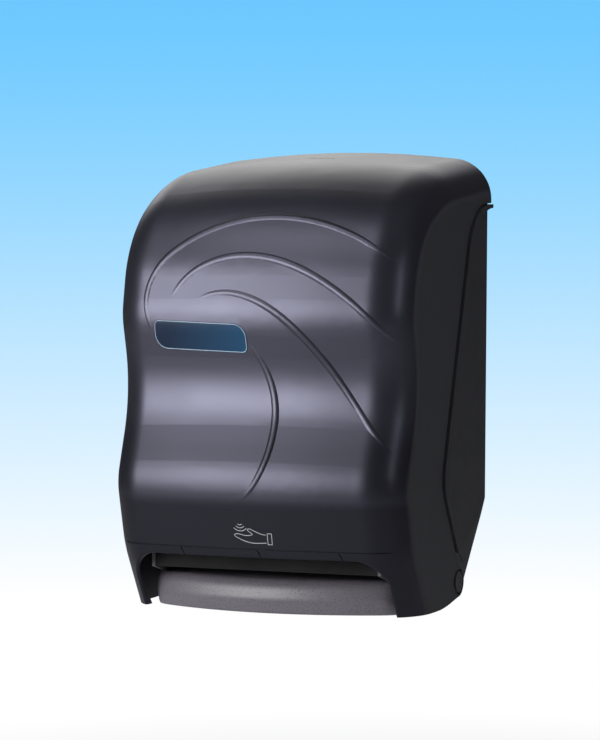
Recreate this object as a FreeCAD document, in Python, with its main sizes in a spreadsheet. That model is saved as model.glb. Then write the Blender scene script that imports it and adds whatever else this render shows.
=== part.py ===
import FreeCAD, Part
import math
import os
import re
from FreeCAD import Placement, Rotation, Vector

# Automatic roll towel dispenser for a wall: a smoke cover that swings down on two pins,
# a rear housing, a battery powered feed unit between two side plates, and roll arms.
# Heights are written from the bottom of the cover's legs; the row's origin lies
# origin_height above it, at the centre of the four wall screw holes on the wall face.
# Depths are written from the wall towards the room, which is the -Y direction.

SIZES = {
    # overall frame
    "origin_height": 214.0,
    "screw_spacing_across": 248.0,
    "screw_spacing_up": 208.0,
    "screw_hole_radius": 3.2,
    # cover
    "side_room": 27.5,
    "cover_depth": 243.0,
    "cover_wall": 3.0,
    "side_draft": 1.2,
    "side_taper": 0.4,
    "corner_radius": 39.0,
    "crown_radius": 840.0,
    "ridge_inset": 273.0,
    "ridge_height": 421.8,
    "shoulder_inset": 107.0,
    "shoulder_height": 403.7,
    "shoulder_radius": 180.0,
    "brow_inset": 26.9,
    "brow_height": 354.5,
    "brow_radius": 120.0,
    "bulge_inset": 8.1,
    "bulge_height": 266.8,
    "bulge_radius": 75.0,
    "waist_inset": 24.4,
    "waist_height": 200.0,
    "waist_radius": 100.0,
    "belly_inset": -6.6,
    "belly_height": 118.8,
    "belly_radius": 70.0,
    "chin_inset": 11.7,
    "chin_height": 46.1,
    "chin_radius": 110.0,
    "foot_inset": 66.8,
    "foot_height": -45.0,
    "rib_rise": 1.3,
    "rib_radius": 5.5,
    "groove_height": 61.2,
    "groove_width": 1.6,
    "groove_depth": 0.9,
    "groove_half_length": 128.0,
    "arch_half_width": 122.0,
    "arch_top": 53.0,
    "arch_corner_radius": 26.0,
    "arch_lip_wall": 4.0,
    "arch_lip_top_depth": 221.0,
    "arch_lip_low_depth": 178.0,
    "arch_edge_radius": 2.0,
    "notch_centre": 9.5,
    "notch_spacing": 76.0,
    "notch_width": 1.2,
    "notch_height": 9.0,
    "notch_slant": 25.0,
    "notch_depth": 1.0,
    "key_slot_depth_from_wall": 60.0,
    "key_slot_length": 26.0,
    "key_slot_width": 2.6,
    "key_slot_wave": 2.2,
    # parting line between cover and housing
    "seam_top_height": 370.0,
    "seam_brow_depth": 53.5,
    "seam_brow_height": 366.0,
    "seam_brow_radius": 55.0,
    "seam_knee_depth": 128.0,
    "seam_knee_height": 114.0,
    "seam_knee_radius": 45.0,
    # hinge
    "hinge_depth": 80.0,
    "hinge_height": 21.0,
    "hinge_lobe_radius": 14.0,
    "leg_heel_depth": 118.0,
    "leg_heel_radius": 200.0,
    "hinge_pin_radius": 4.0,
    "hinge_pin_clearance": 0.05,
    "hinge_pocket_radius": 12.0,
    "hinge_pocket_depth": 1.2,
    "hinge_head_radius": 9.5,
    "hinge_head_thickness": 1.6,
    "hinge_boss_radius": 9.0,
    "hinge_boss_length": 12.0,
    "swing_radius": 28.0,
    # badge
    "badge_length": 92.0,
    "badge_height": 29.0,
    "badge_thickness": 1.0,
    "badge_seat_depth": 0.6,
    "badge_centre_across": -50.0,
    "badge_centre_up": 249.5,
    # housing
    "nest_gap": 0.6,
    "housing_wall": 3.0,
    "housing_overlap": 12.0,
    "housing_top_depth": 45.0,
    "housing_brow_height": 385.0,
    "housing_brow_radius": 10.0,
    "housing_lug_rise": 3.0,
    "housing_lug_bend": 6.0,
    "housing_floor_run": 6.0,
    "housing_bend": 3.0,
    "housing_room_depth": 105.0,
    "housing_room_height": 352.0,
    "housing_room_front": 300.0,
    "bead_gap": 3.0,
    "bead_gap_down": 1.0,
    "bead_width": 9.0,
    "bead_width_down": 2.8,
    "bead_rise": 2.0,
    "facet_rear_height": 83.2,
    "facet_front_depth": 70.0,
    "facet_front_height": 45.8,
    "facet_cut": 2.0,
    "bevel_height": 92.0,
    "bevel_depth": 56.0,
    "bevel_low_height": 14.0,
    "housing_lug_radius": 14.5,
    # feed unit frame
    "panel_inset": 47.0,
    "plate_lead": 3.0,
    "plate_inner_half": 109.0,
    "plate_thickness": 3.0,
    "plate_rear_height": 97.0,
    "plate_top_height": 240.0,
    "flange_width": 14.0,
    "flange_low": 130.0,
    "flange_high": 230.0,
    "plate_shoulder_depth": 60.0,
    "plate_elbow_depth": 134.0,
    "plate_elbow_rise": 34.0,
    "plate_nose_rise": 14.0,
    "plate_toe_run": 22.0,
    "plate_tray_lap": 4.0,
    "tie_rod_radius": 3.0,
    "low_tie_depth": 40.0,
    "low_tie_drop": 5.0,
    "high_tie_depth": 150.0,
    "high_tie_rise": 20.0,
    "lug_half_height": 6.0,
    "lug_reach": 5.0,
    "small_screw_radius": 1.5,
    "small_head_radius": 3.0,
    "small_head_height": 1.8,
    "joint_gap": 0.3,
    "running_fit": 0.05,
    # tray
    "tray_half_width": 119.5,
    "tray_nose_inset": 32.0,
    "tray_bow": 30.0,
    "tray_top": 31.0,
    "tray_crease_height": 13.5,
    "tray_top_radius": 12.0,
    "tray_crease_radius": 8.0,
    "tray_low_radius": 4.0,
    "tray_end_turn": 9.0,
    "tray_heel_depth": 108.5,
    "tray_heel_run": 12.0,
    "tray_top_lean": 4.5,
    "tray_undercut": 5.5,
    "tray_room_setback": 7.0,
    "tray_room_radius": 6.0,
    "tray_rear_depth": 64.5,
    "tray_wall": 3.0,
    # front panel and tear bar
    "panel_wall": 2.5,
    "panel_low": 37.5,
    "panel_knee": 126.0,
    "panel_back_depth": 132.0,
    "panel_back_height": 168.0,
    "tear_bar_thickness": 1.0,
    "tear_bar_low": 50.0,
    "tear_bar_height": 12.0,
    "tear_bar_half_length": 104.0,
    "tear_tooth_pitch": 8.0,
    "tear_tooth_depth": 3.0,
    # rollers
    "roller_setback": 38.0,
    "pivot_setback": 8.0,
    "roller_height": 72.0,
    "roller_core_radius": 10.0,
    "roller_core_half": 101.0,
    "sleeve_radius": 13.0,
    "sleeve_length": 42.0,
    "sleeve_spacing": 66.0,
    "shaft_radius": 3.0,
    "bushing_radius": 6.0,
    "bushing_flange_radius": 8.0,
    "bushing_flange_thickness": 1.5,
    "paper_gap": 0.6,
    "pinch_radius": 9.5,
    "pinch_shaft_radius": 2.5,
    "pinch_pivot_height": 104.0,
    "pinch_rod_radius": 2.5,
    "cheek_thickness": 2.5,
    "cheek_inner_half": 103.0,
    "bridge_setback": 4.2,
    "bridge_thickness": 1.8,
    "spring_wire_radius": 0.4,
    "spring_pitch": 1.0,
    # gears
    "gear_module": 1.0,
    "drive_teeth": 40,
    "idler_teeth": 30,
    "pinion_teeth": 12,
    "gear_width": 7.0,
    "gear_backlash": 0.24,
    "idler_angle": 30.0,
    "pinion_angle": 20.0,
    "gear_offset": 4.0,
    "idler_axle_radius": 2.5,
    "motor_shaft_radius": 1.2,
    "gear_cover_wall": 1.8,
    "motor_radius": 14.0,
    "motor_length": 42.0,
    # roll arms
    "roll_centre_depth": 112.0,
    "roll_centre_height": 285.0,
    "arm_pivot_height": 150.0,
    "arm_thickness": 3.5,
    "arm_width": 24.0,
    "arm_gap": 1.0,
    "arm_barrel_radius": 5.0,
    "arm_pin_radius": 2.0,
    "lug_thickness": 4.0,
    "hub_radius": 18.5,
    "hub_nose_length": 12.0,
    "hub_axle_radius": 5.0,
    "hub_clip_radius": 7.5,
    "hub_clip_thickness": 1.4,
    # batteries
    "cell_radius": 16.6,
    "cell_length": 61.0,
    "cell_pitch": 36.0,
    "case_low": 104.0,
    "case_wall": 2.0,
    "case_left": 107.0,
    "contact_thickness": 0.8,
    "contact_room": 3.2,
    "door_thickness": 2.4,
    "door_hinge_radius": 2.0,
    # electronics
    "board_thickness": 1.6,
    "board_left": 44.0,
    "board_width": 56.0,
    "board_low": 106.0,
    "board_height": 72.0,
    "board_standoff": 6.0,
    "box_depth": 24.0,
    "box_wall": 2.0,
    "box_margin": 3.0,
    "knob_width": 6.0,
    "knob_travel": 6.0,
    "button_radius": 5.0,
    "button_proud": 3.5,
    # sensor
    "sensor_width": 38.0,
    "sensor_height": 18.0,
    "sensor_depth": 16.0,
    "sensor_centre_across": 4.0,
    "sensor_low": 66.0,
    "lens_thickness": 1.5,
    # latch
    "latch_low": 384.0,
    "latch_half_width": 9.0,
    "latch_block_half_depth": 7.0,
    "latch_block_height": 8.0,
    "latch_arm_height": 4.0,
    "latch_nose_height": 12.0,
    "latch_nose_thickness": 4.0,
    "latch_hold": 4.5,
    "latch_travel": 5.0,
    "latch_wall": 2.0,
    "latch_spring_radius": 2.2,
    "latch_spring_wire": 0.3,
    "keeper_thickness": 4.0,
    "keeper_half_width": 22.0,
}

# Sizes that follow from others, as sums
SUMS = {
    "cover_half_width": "plate_inner_half + plate_thickness + side_room",
    "panel_depth": "cover_depth - panel_inset",
    "plate_front_depth": "panel_depth + plate_lead",
    "tray_nose_depth": "cover_depth - tray_nose_inset",
    "roller_depth": "panel_depth - roller_setback",
    "pinch_pivot_depth": "panel_depth - pivot_setback",
}

doc = FreeCAD.newDocument("roll_towel_dispenser")
sheet = doc.addObject("Spreadsheet::Sheet", "sizes")
for row, (alias, value) in enumerate(SIZES.items(), 1):
    sheet.set("A%d" % row, alias)
    sheet.set("B%d" % row, str(value))
    sheet.setAlias("B%d" % row, alias)
doc.recompute()


def size(name):
    """The value of one size, read from the sheet or added up from others."""
    if name not in SUMS:
        return float(sheet.get(name))
    terms = re.findall(r"([+-]?) ?([a-z_]+)", SUMS[name])
    return sum(-size(word) if sign == "-" else size(word) for sign, word in terms)


def formula(text):
    """Turn bare size names in a formula into references to the sheet."""
    def refer(word):
        name = word.group(0)
        if name in SUMS:
            return "(%s)" % formula(SUMS[name])
        return "sizes." + name if name in SIZES else name
    return re.sub(r"[a-z_]+", refer, str(text))


def bind(item, path, text):
    item.setExpression(path, formula(text))


def place(item, x, y, z):
    """Put an item at a point; heights are counted from the legs' bottom."""
    bind(item, "Placement.Base.x", x)
    bind(item, "Placement.Base.y", y)
    bind(item, "Placement.Base.z", "%s - origin_height" % z)
    return item


# Where derived places come from
HINGE_OUT = ("(cover_half_width + (cover_depth - hinge_depth) * tan(side_draft)"
             " + hinge_height * tan(side_taper))")
PLATE_OUT = "(plate_inner_half + plate_thickness)"
PINCH_Y = "(-roller_depth - sleeve_radius - pinch_radius - paper_gap)"
IDLER_REACH = "(gear_module * (drive_teeth + idler_teeth) / 2)"
IDLER_Y = "(-roller_depth + %s * cos(idler_angle))" % IDLER_REACH
IDLER_Z = "(roller_height + %s * sin(idler_angle))" % IDLER_REACH
PINION_REACH = "(gear_module * (idler_teeth + pinion_teeth) / 2)"
PINION_Y = "(%s + %s * cos(pinion_angle))" % (IDLER_Y, PINION_REACH)
PINION_Z = "(%s + %s * sin(pinion_angle))" % (IDLER_Z, PINION_REACH)
GEAR_X = "(%s + gear_offset)" % PLATE_OUT
ARM_X = "(%s + arm_gap)" % PLATE_OUT
BARREL_X = "(%s + arm_barrel_radius + 0.5 * arm_gap)" % ARM_X
HOUSING_FACE = "(-housing_wall)"

# Basic solids


def block(name, x, y, z, dx, dy, dz):
    item = doc.addObject("Part::Box", name)
    bind(item, "Length", dx)
    bind(item, "Width", dy)
    bind(item, "Height", dz)
    return place(item, x, y, z)


TURNS = {
    "X": Rotation(Vector(0, 1, 0), 90),
    "Y": Rotation(Vector(1, 0, 0), -90),
    "Z": Rotation(),
}


def rod(name, axis, radius, length, x, y, z):
    """A cylinder that starts at a point and runs along +X, +Y or +Z."""
    item = doc.addObject("Part::Cylinder", name)
    bind(item, "Radius", radius)
    bind(item, "Height", length)
    item.Placement = Placement(Vector(), TURNS[axis])
    return place(item, x, y, z)


def join(name, parts):
    item = doc.addObject("Part::MultiFuse", name)
    item.Shapes = parts
    item.Refine = True
    return item


def cut(name, base, tools):
    item = doc.addObject("Part::Cut", name)
    item.Base = base
    item.Tool = tools[0] if len(tools) == 1 else join(name + "_tools", tools)
    return item


def common(name, first, second):
    item = doc.addObject("Part::Common", name)
    item.Base = first
    item.Tool = second
    return item


def group(name, parts):
    item = doc.addObject("Part::Compound", name)
    item.Links = parts
    return item


def made(name, shape):
    """A shape that neither sketches nor primitives fit."""
    item = doc.addObject("Part::Feature", name)
    item.Shape = shape
    return item


nodes = {}


def node(label, item):
    """Name a finished piece; its label is its node's name."""
    item.Label = label
    nodes[label] = item
    return item


# Bodies with sketches


def body(name):
    item = doc.addObject("PartDesign::Body", name)
    place(item, "0", "0", "0")
    return item


def plane(owner, role):
    return next(f for f in owner.Origin.OriginFeatures if f.Role == role)


def sketch(owner, name, role, offset="0"):
    item = owner.newObject("Sketcher::SketchObject", name)
    item.AttachmentSupport = (plane(owner, role), [""])
    item.MapMode = "FlatFace"
    bind(item, "AttachmentOffset.Base.z", offset)
    return item


def polygon(item, points):
    """Draw a closed outline with both coordinates of each corner bound to a formula."""
    import Sketcher
    count = len(points)
    first = item.GeometryCount
    for i in range(count):
        start = Vector(10 * math.cos(6.283 * i / count), 10 * math.sin(6.283 * i / count), 0)
        turn = 6.283 * (i + 1) / count
        end = Vector(10 * math.cos(turn), 10 * math.sin(turn), 0)
        item.addGeometry(Part.LineSegment(start, end), False)
    for i in range(count):
        after = first + (i + 1) % count
        item.addConstraint(Sketcher.Constraint("Coincident", first + i, 2, after, 1))
    for i, (across, up) in enumerate(points):
        for kind, text in (("DistanceX", across), ("DistanceY", up)):
            spot = item.addConstraint(Sketcher.Constraint(kind, -1, 1, first + i, 1, 1.0))
            bind(item, "Constraints[%d]" % spot, text)


def circle(item, radius, across, up):
    """Draw a circle bound in radius and centre."""
    import Sketcher
    spot = item.addGeometry(Part.Circle(Vector(0, 0, 0), Vector(0, 0, 1), 1.0), False)
    for kind, text in (("DistanceX", across), ("DistanceY", up)):
        place_in = item.addConstraint(Sketcher.Constraint(kind, -1, 1, spot, 3, 1.0))
        bind(item, "Constraints[%d]" % place_in, text)
    round_in = item.addConstraint(Sketcher.Constraint("Radius", spot, 1.0))
    bind(item, "Constraints[%d]" % round_in, radius)


def pad(owner, name, profile, length, midplane=False, reverse=False):
    item = owner.newObject("PartDesign::Pad", name)
    item.Profile = profile
    bind(item, "Length", length)
    item.Midplane = midplane
    item.Reversed = reverse
    return item


def pocket(owner, name, profile, length, midplane=False, reverse=False):
    item = owner.newObject("PartDesign::Pocket", name)
    item.Profile = profile
    bind(item, "Length", length)
    item.Midplane = midplane
    item.Reversed = reverse
    return item


def revolve(owner, name, profile):
    item = owner.newObject("PartDesign::Revolution", name)
    item.Profile = profile
    item.ReferenceAxis = (profile, ["H_Axis"])
    item.Angle = 360.0
    return item


# Cover form: the side outline, drawn ever deeper towards the sides

# Corners of the side outline, from behind the wall over the top and down the waved front
CORNERS = ["ridge", "shoulder", "brow", "bulge", "waist", "belly", "chin", "foot"]
# How far the form runs on behind the wall before it is cut there
BEHIND = 60.0


def shifted(points, inward):
    """The corner points of an outline moved inwards by one distance."""
    lines = []
    for (y0, z0), (y1, z1) in zip(points, points[1:]):
        length = math.hypot(y1 - y0, z1 - z0)
        along = ((y1 - y0) / length, (z1 - z0) / length)
        lines.append(((y0 - along[1] * inward, z0 + along[0] * inward), along))
    moved = [lines[0][0]]
    for (p, u), (q, v) in zip(lines, lines[1:]):
        cross = u[0] * v[1] - u[1] * v[0]
        reach = ((q[0] - p[0]) * v[1] - (q[1] - p[1]) * v[0]) / cross
        moved.append((p[0] + reach * u[0], p[1] + reach * u[1]))
    (p, u), (y0, z0), (y1, z1) = lines[-1], points[-2], points[-1]
    length = math.hypot(y1 - y0, z1 - z0)
    moved.append((p[0] + u[0] * length, p[1] + u[1] * length))
    return moved


def bend_reach(points, radii, i):
    """How far a bend reaches along the lines at its corner."""
    before, corner, after = [Vector(0, *points[j]) for j in (i - 1, i, i + 1)]
    return radii[i] / math.tan((before - corner).getAngle(after - corner) / 2)


def fitted(points, radii):
    """The bend radii, drawn in where two bends would meet on the line between them."""
    fits = list(radii)
    for i in range(1, len(points) - 2):
        straight = math.dist(points[i], points[i + 1])
        reach = bend_reach(points, radii, i) + bend_reach(points, radii, i + 1)
        share = min(1.0, 0.99 * straight / reach)
        fits[i] = min(fits[i], share * radii[i])
        fits[i + 1] = min(fits[i + 1], share * radii[i + 1])
    return fits


def rounded_edges(points, radii, x=0.0):
    """Lines and tangent arcs through corner points in the plane of one X."""
    edges = []
    radii = fitted(points, radii)
    last = Vector(x, *points[0])
    for i in range(1, len(points) - 1):
        before, corner, after = [Vector(x, *points[j]) for j in (i - 1, i, i + 1)]
        back = (before - corner).normalize()
        ahead = (after - corner).normalize()
        opening = back.getAngle(ahead)
        reach = radii[i] / math.tan(opening / 2)
        middle = (back + ahead).normalize()
        nearest = corner + middle * (radii[i] / math.sin(opening / 2) - radii[i])
        start, end = corner + back * reach, corner + ahead * reach
        edges.append(Part.makeLine(last, start))
        edges.append(Part.Arc(start, nearest, end).toShape())
        last = end
    edges.append(Part.makeLine(last, Vector(x, *points[-1])))
    return edges


def side_section(x, inward):
    """One closed section of the cover form, at one X and one depth under its crown."""
    outline = [(size(name + "_inset") - size("cover_depth"), size(name + "_height"))
               for name in CORNERS]
    corners = shifted(outline, inward)
    radii = [0.0]
    for i, name in enumerate(CORNERS[1:-1], 1):
        (y0, z0), (y1, z1), (y2, z2) = outline[i - 1:i + 2]
        hollow = (y1 - y0) * (z2 - z1) - (z1 - z0) * (y2 - y1) < 0
        radii.append(size(name + "_radius") + (inward if hollow else -inward))
    edges = rounded_edges(corners, radii, x)
    low, high = Vector(x, *corners[-1]), Vector(x, *corners[0])
    edges.append(Part.makeLine(low, Vector(x, BEHIND, low.z)))
    edges.append(Part.makeLine(Vector(x, BEHIND, low.z), Vector(x, BEHIND, high.z)))
    edges.append(Part.makeLine(Vector(x, BEHIND, high.z), high))
    wire = Part.Wire(edges)
    # the sides lean outwards, a little towards the wall and a little towards the top
    share = x / size("cover_half_width")
    wire.rotate(Vector(x, -size("cover_depth"), 0), Vector(0, 0, 1), -size("side_draft") * share)
    wire.rotate(Vector(x, 0, 0), Vector(0, 1, 0), size("side_taper") * share)
    return wire


def form(inward):
    """The solid form of the cover, moved inwards by one distance."""
    radius = size("corner_radius")
    crown = size("crown_radius")
    flat_half = size("cover_half_width") - radius

    def fall(x):
        return crown - math.sqrt(crown ** 2 - x ** 2)

    stations = []
    for degrees in (90, 78, 66, 54, 42, 30, 16):
        turn = math.radians(degrees)
        across = flat_half + (radius - inward) * math.sin(turn)
        down = fall(flat_half) + radius - (radius - inward) * math.cos(turn)
        stations.append((across, down))
    for share in (0.98, 0.66, 0.33):
        stations.append((flat_half * share, fall(flat_half * share) + inward))
    both = [(-x, down) for x, down in stations] + [(0.0, inward)]
    both += [(x, down) for x, down in reversed(stations)]
    return Part.makeLoft([side_section(x, down) for x, down in both], True, False)


# Side outlines of the parting line
# Radius of a corner that stays sharp to the eye
SHARP = 0.1


def seam_points(forward, up=0.0):
    """The parting line's corners and bend radii, moved towards the room and upwards."""
    corners = [
        (0.0, size("seam_top_height"), 0.0),
        (size("seam_brow_depth"), size("seam_brow_height"), size("seam_brow_radius")),
        (size("seam_knee_depth"), size("seam_knee_height"), size("seam_knee_radius")),
        (size("hinge_depth"), size("hinge_height") + size("hinge_lobe_radius"), SHARP),
    ]
    moved = [(-(depth + forward), height + up) for depth, height, radius in corners]
    return moved, [radius for depth, height, radius in corners]


def slab(edges, half_width):
    """A side outline extruded across the whole width."""
    face = Part.Face(Part.Wire(edges))
    face.translate(Vector(-half_width, 0, 0))
    return face.extrude(Vector(2 * half_width, 0, 0))


FAR = 2 * size("cover_depth")


def closed_slab(points, radii):
    """A closed side outline with rounded corners, extruded across the whole width."""
    edges = rounded_edges(points, radii)
    edges.append(Part.makeLine(Vector(0, *points[-1]), Vector(0, *points[0])))
    return slab(edges, FAR)


def cover_zone():
    """Everything in front of the parting line, with the round lobes at the hinge."""
    points, radii = seam_points(0.0)
    hinge = Vector(0, -size("hinge_depth"), size("hinge_height"))
    lobe = size("hinge_lobe_radius")
    points += [(hinge.y, hinge.z - lobe), (-size("leg_heel_depth"), 0.0), (-FAR, 0.0),
               (-FAR, FAR), (points[0][0], FAR)]
    radii += [SHARP, size("leg_heel_radius"), SHARP, SHARP, 0.0]
    zone = closed_slab(points, radii)
    return zone.fuse(Part.makeCylinder(lobe, 2 * FAR, hinge - Vector(FAR, 0, 0),
                                       Vector(1, 0, 0)))


def behind_seam(back, down):
    """Everything behind the parting line after it was moved back and down."""
    points, radii = seam_points(-back, -down)
    points += [(FAR, points[-1][1]), (FAR, points[0][1])]
    return closed_slab(points, radii + [SHARP, 0.0])


def prism(points, radii, near, far):
    """A front outline with rounded corners, extruded through a range of depths."""
    closed = points + points[:2]
    loop = rounded_edges(closed, radii + radii[:2])
    wire = Part.Wire(loop[1:-1])
    if not wire.isClosed():
        ends = [wire.OrderedVertexes[0].Point, wire.OrderedVertexes[-1].Point]
        wire = Part.Wire(loop[1:-1] + [Part.makeLine(ends[1], ends[0])])
    face = Part.Face(wire)
    # the outline was drawn as (across, up) in the YZ plane: stand it up facing the room
    face.rotate(Vector(), Vector(0, 0, 1), -90)
    face.translate(Vector(0, -near, 0))
    return face.extrude(Vector(0, -(far - near), 0))


def arch_prism(grown, near, far):
    """The opening under the front, as a rounded arch that is open at the bottom."""
    half = size("arch_half_width") + grown
    top = size("arch_top") + grown
    low = -40.0
    radius = size("arch_corner_radius") + grown
    points = [(-half, low), (half, low), (half, top), (-half, top)]
    return prism(points, [1.0, 1.0, radius, radius], near, far)


# Raised swept lines of the cover front: centre points across and up, thin at both ends
SWEEPS = {
    "outer": [(-97, 252), (-104.5, 275), (-101, 301), (-71, 333), (-17, 354), (42, 354),
              (100, 335), (136, 312)],
    "upper": [(-83, 275), (-53, 311), (-8, 322), (48, 309), (102, 274.5), (141, 236)],
    "middle": [(-57, 280), (-31, 289), (12, 279), (61, 237), (102, 181.5), (138, 144)],
    "lower": [(-4, 245), (12.5, 219), (22, 163), (8, 118), (-3, 105)],
}


def front_depth(outer, x, z):
    """The Y of the cover's front at one place across and up."""
    line = Part.makeLine(Vector(x, -FAR, z), Vector(x, -size("cover_depth") / 2, z))
    return min(vertex.Y for vertex in outer.common(line).Vertexes)


def sweep_tube(outer, points):
    """A round tube sunk into the front, so that a soft ridge stands out and thins at its ends."""
    line = Part.BSplineCurve()
    line.interpolate([Vector(x, 0, z) for x, z in points])
    first, last = line.FirstParameter, line.LastParameter
    radius, steps = size("rib_radius"), 14
    middles = []
    for i in range(steps + 1):
        at = line.value(first + (last - first) * i / steps)
        proud = size("rib_rise") * (1.3 * math.sin(math.pi * i / steps) ** 0.5 - 0.3)
        y, inner = front_depth(outer, at.x, at.z), at.x - math.copysign(1.0, at.x)
        outward = Vector((y - front_depth(outer, inner, at.z)) * math.copysign(1.0, at.x), -1.0,
                         y - front_depth(outer, at.x, at.z - 1))
        skin = Vector(at.x, y, at.z)
        middles.append(skin - outward.normalize() * (radius - proud))
    path = Part.BSplineCurve()
    path.interpolate(middles)
    start = Part.Wire(Part.makeCircle(radius, middles[0], path.tangent(path.FirstParameter)[0]))
    return Part.Wire(path.toShape()).makePipeShell([start], True, True)


def badge_prism(grown, near):
    """The badge's outline: a leaning bar with two round and two sharper corners."""
    half, tall = size("badge_length") / 2 + grown, size("badge_height") / 2 + grown
    x, z = size("badge_centre_across"), size("badge_centre_up")
    lean = 3.0
    points = [(x - half, z - tall + lean), (x + half, z - tall), (x + half, z + tall - lean),
              (x - half, z + tall)]
    radii = [tall * 0.9, 5.0 + grown, tall * 0.9, 5.0 + grown]
    return prism(points, radii, near, FAR)


def zigzag_prism():
    """The key slot in the top: a short zigzag channel."""
    y, half = -size("key_slot_depth_from_wall"), size("key_slot_length") / 2
    wave, thick = size("key_slot_wave"), size("key_slot_width") / 2
    count = 8
    upper, lower = [], []
    for i in range(count + 1):
        x = -half + 2 * half * i / count
        middle = y + (wave if i % 2 else -wave) / 2
        upper.append(Vector(x, middle + thick, 380))
        lower.append(Vector(x, middle - thick, 380))
    loop = upper + lower[::-1]
    face = Part.Face(Part.makePolygon(loop + [loop[0]]))
    return face.extrude(Vector(0, 0, 60))


def notch_prisms():
    """The three thin slanted notches across the strip over the opening."""
    solids = []
    high, wide = size("notch_height"), size("notch_width")
    middle = (size("arch_top") + size("groove_height")) / 2
    for step in (-1, 0, 1):
        box = Part.makeBox(wide, 0.7 * FAR, high, Vector(-wide / 2, -FAR, -high / 2))
        box.rotate(Vector(), Vector(0, 1, 0), -size("notch_slant"))
        box.translate(Vector(size("notch_centre") + step * size("notch_spacing"), 0, middle))
        solids.append(box)
    return solids


def arch_lip(outer, zone):
    """The wall round the opening: short over the tray, running far back along the legs."""
    near = size("cover_depth") / 2
    lip = arch_prism(size("arch_lip_wall"), near, FAR).common(outer).common(zone)
    top = (-size("arch_lip_top_depth"), size("arch_top"))
    low = (-size("arch_lip_low_depth"), 0.0)
    run = ((top[0] - low[0]) / top[1], 1.0)
    above = (top[0] + run[0] * FAR, top[1] + FAR)
    below = (low[0] - run[0] * FAR, -FAR)
    front = closed_slab([below, above, (-4 * FAR, above[1]), (-4 * FAR, below[1])],
                        [0.0, SHARP, SHARP, 0.0])
    return lip.common(front)


def softened(shell):
    """The shell with the front edge of the opening rounded over."""
    half, top = size("arch_half_width"), size("arch_top")
    outer = form(0)
    picked = []
    for edge in shell.Edges:
        at = edge.valueAt((edge.FirstParameter + edge.LastParameter) / 2)
        inside = abs(at.x) < half + 0.5 and 2.0 < at.z < top + 0.5
        if inside and at.y < -size("cover_depth") / 2:
            if abs(front_depth(outer, at.x, at.z) - at.y) < 0.1:
                picked.append(edge)
    # the rounding stays inside the lip's wall
    radius = min(size("arch_edge_radius"), size("arch_lip_wall") / 2)
    return shell.makeFillet(radius, picked)


def cover_shell():
    """The cover as one moulding: skin, opening with its lip, raised lines, groove and slots."""
    outer = form(0)
    zone = cover_zone()
    shell = outer.common(zone).cut(form(size("cover_wall")))
    near = size("cover_depth") * 0.6
    shell = shell.fuse(arch_lip(outer, zone)).cut(arch_prism(0, size("cover_depth") / 3, FAR + 1))
    shell = softened(shell)
    under = form(size("cover_wall") / 2)
    shell = shell.fuse([sweep_tube(outer, points).cut(under) for points in SWEEPS.values()])
    half, wide = size("groove_half_length"), size("groove_width")
    groove = Part.makeBox(2 * half, FAR / 2, wide,
                          Vector(-half, -FAR / 2 - near, size("groove_height") - wide / 2))
    shell = shell.cut(groove.cut(form(size("groove_depth"))))
    shell = shell.cut([notch.cut(form(size("notch_depth"))) for notch in notch_prisms()])
    shell = shell.cut(badge_prism(0.4, near).cut(form(size("badge_seat_depth"))))
    return shell.cut(zigzag_prism())


def badge_plate():
    """The badge: a thin plate that follows the front and stands a little proud of it."""
    proud = form(size("badge_seat_depth") - size("badge_thickness"))
    plate = badge_prism(0, size("cover_depth") * 0.6).common(proud)
    return plate.cut(form(size("badge_seat_depth")))


def housing_zone(inset):
    """The side outline of the rear housing, drawn smaller on the wall, bevel and floor sides."""
    points, radii = seam_points(size("housing_overlap"))
    top, depth = FAR, size("housing_top_depth")
    hinge_y, hinge_z = size("hinge_depth"), size("hinge_height")
    lug = size("housing_lug_radius")
    front = [(-depth, top), (-depth, size("housing_brow_height"))] + points[1:-1]
    bends = [0.0, size("housing_brow_radius")] + radii[1:-1]
    floor, bend = hinge_z - lug, size("housing_bend")
    front += [(-(hinge_y + lug), hinge_z + lug + size("housing_lug_rise")),
              (-(hinge_y + lug), floor),
              (-size("bevel_depth") - size("housing_floor_run"), floor),
              (-size("bevel_depth"), size("bevel_low_height")),
              (0.0, size("bevel_height")), (0.0, top)]
    bends += [size("housing_lug_bend"), lug * 0.98, bend, bend, bend, 0.0]
    if inset:
        front = [(-depth, top), (-size("housing_room_depth"), size("housing_room_height")),
                 (-FAR, size("housing_room_front")), (-FAR, floor + inset),
                 (-size("bevel_depth") - size("housing_floor_run") + inset / 3, floor + inset),
                 (-size("bevel_depth") - inset * 0.5, size("bevel_low_height") + inset),
                 (-inset, size("bevel_height") + inset * 0.2), (-inset, top)]
        bends = [0.0, SHARP, SHARP, SHARP, bend / 2, bend / 2, bend / 2, 0.0]
    return closed_slab(front, bends)


def seam_bead():
    """The bead on the housing's sides, standing up behind the gap at the parting line."""
    gap, down = size("bead_gap"), size("bead_gap_down")
    strip = behind_seam(gap, down)
    strip = strip.cut(behind_seam(gap + size("bead_width"), down + size("bead_width_down")))
    bead = form(-size("bead_rise")).common(strip)
    bead = bead.cut(form(size("cover_wall") + size("nest_gap") + size("housing_wall") / 2))
    room = Part.makeCylinder(size("hinge_lobe_radius") + size("bead_gap_down"), 2 * FAR,
                             Vector(-FAR, -size("hinge_depth"), size("hinge_height")),
                             Vector(1, 0, 0))
    wall = Part.makeBox(2 * FAR, FAR, 2 * FAR, Vector(-FAR, 0, -FAR))
    return bead.cut([room, wall])


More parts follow.
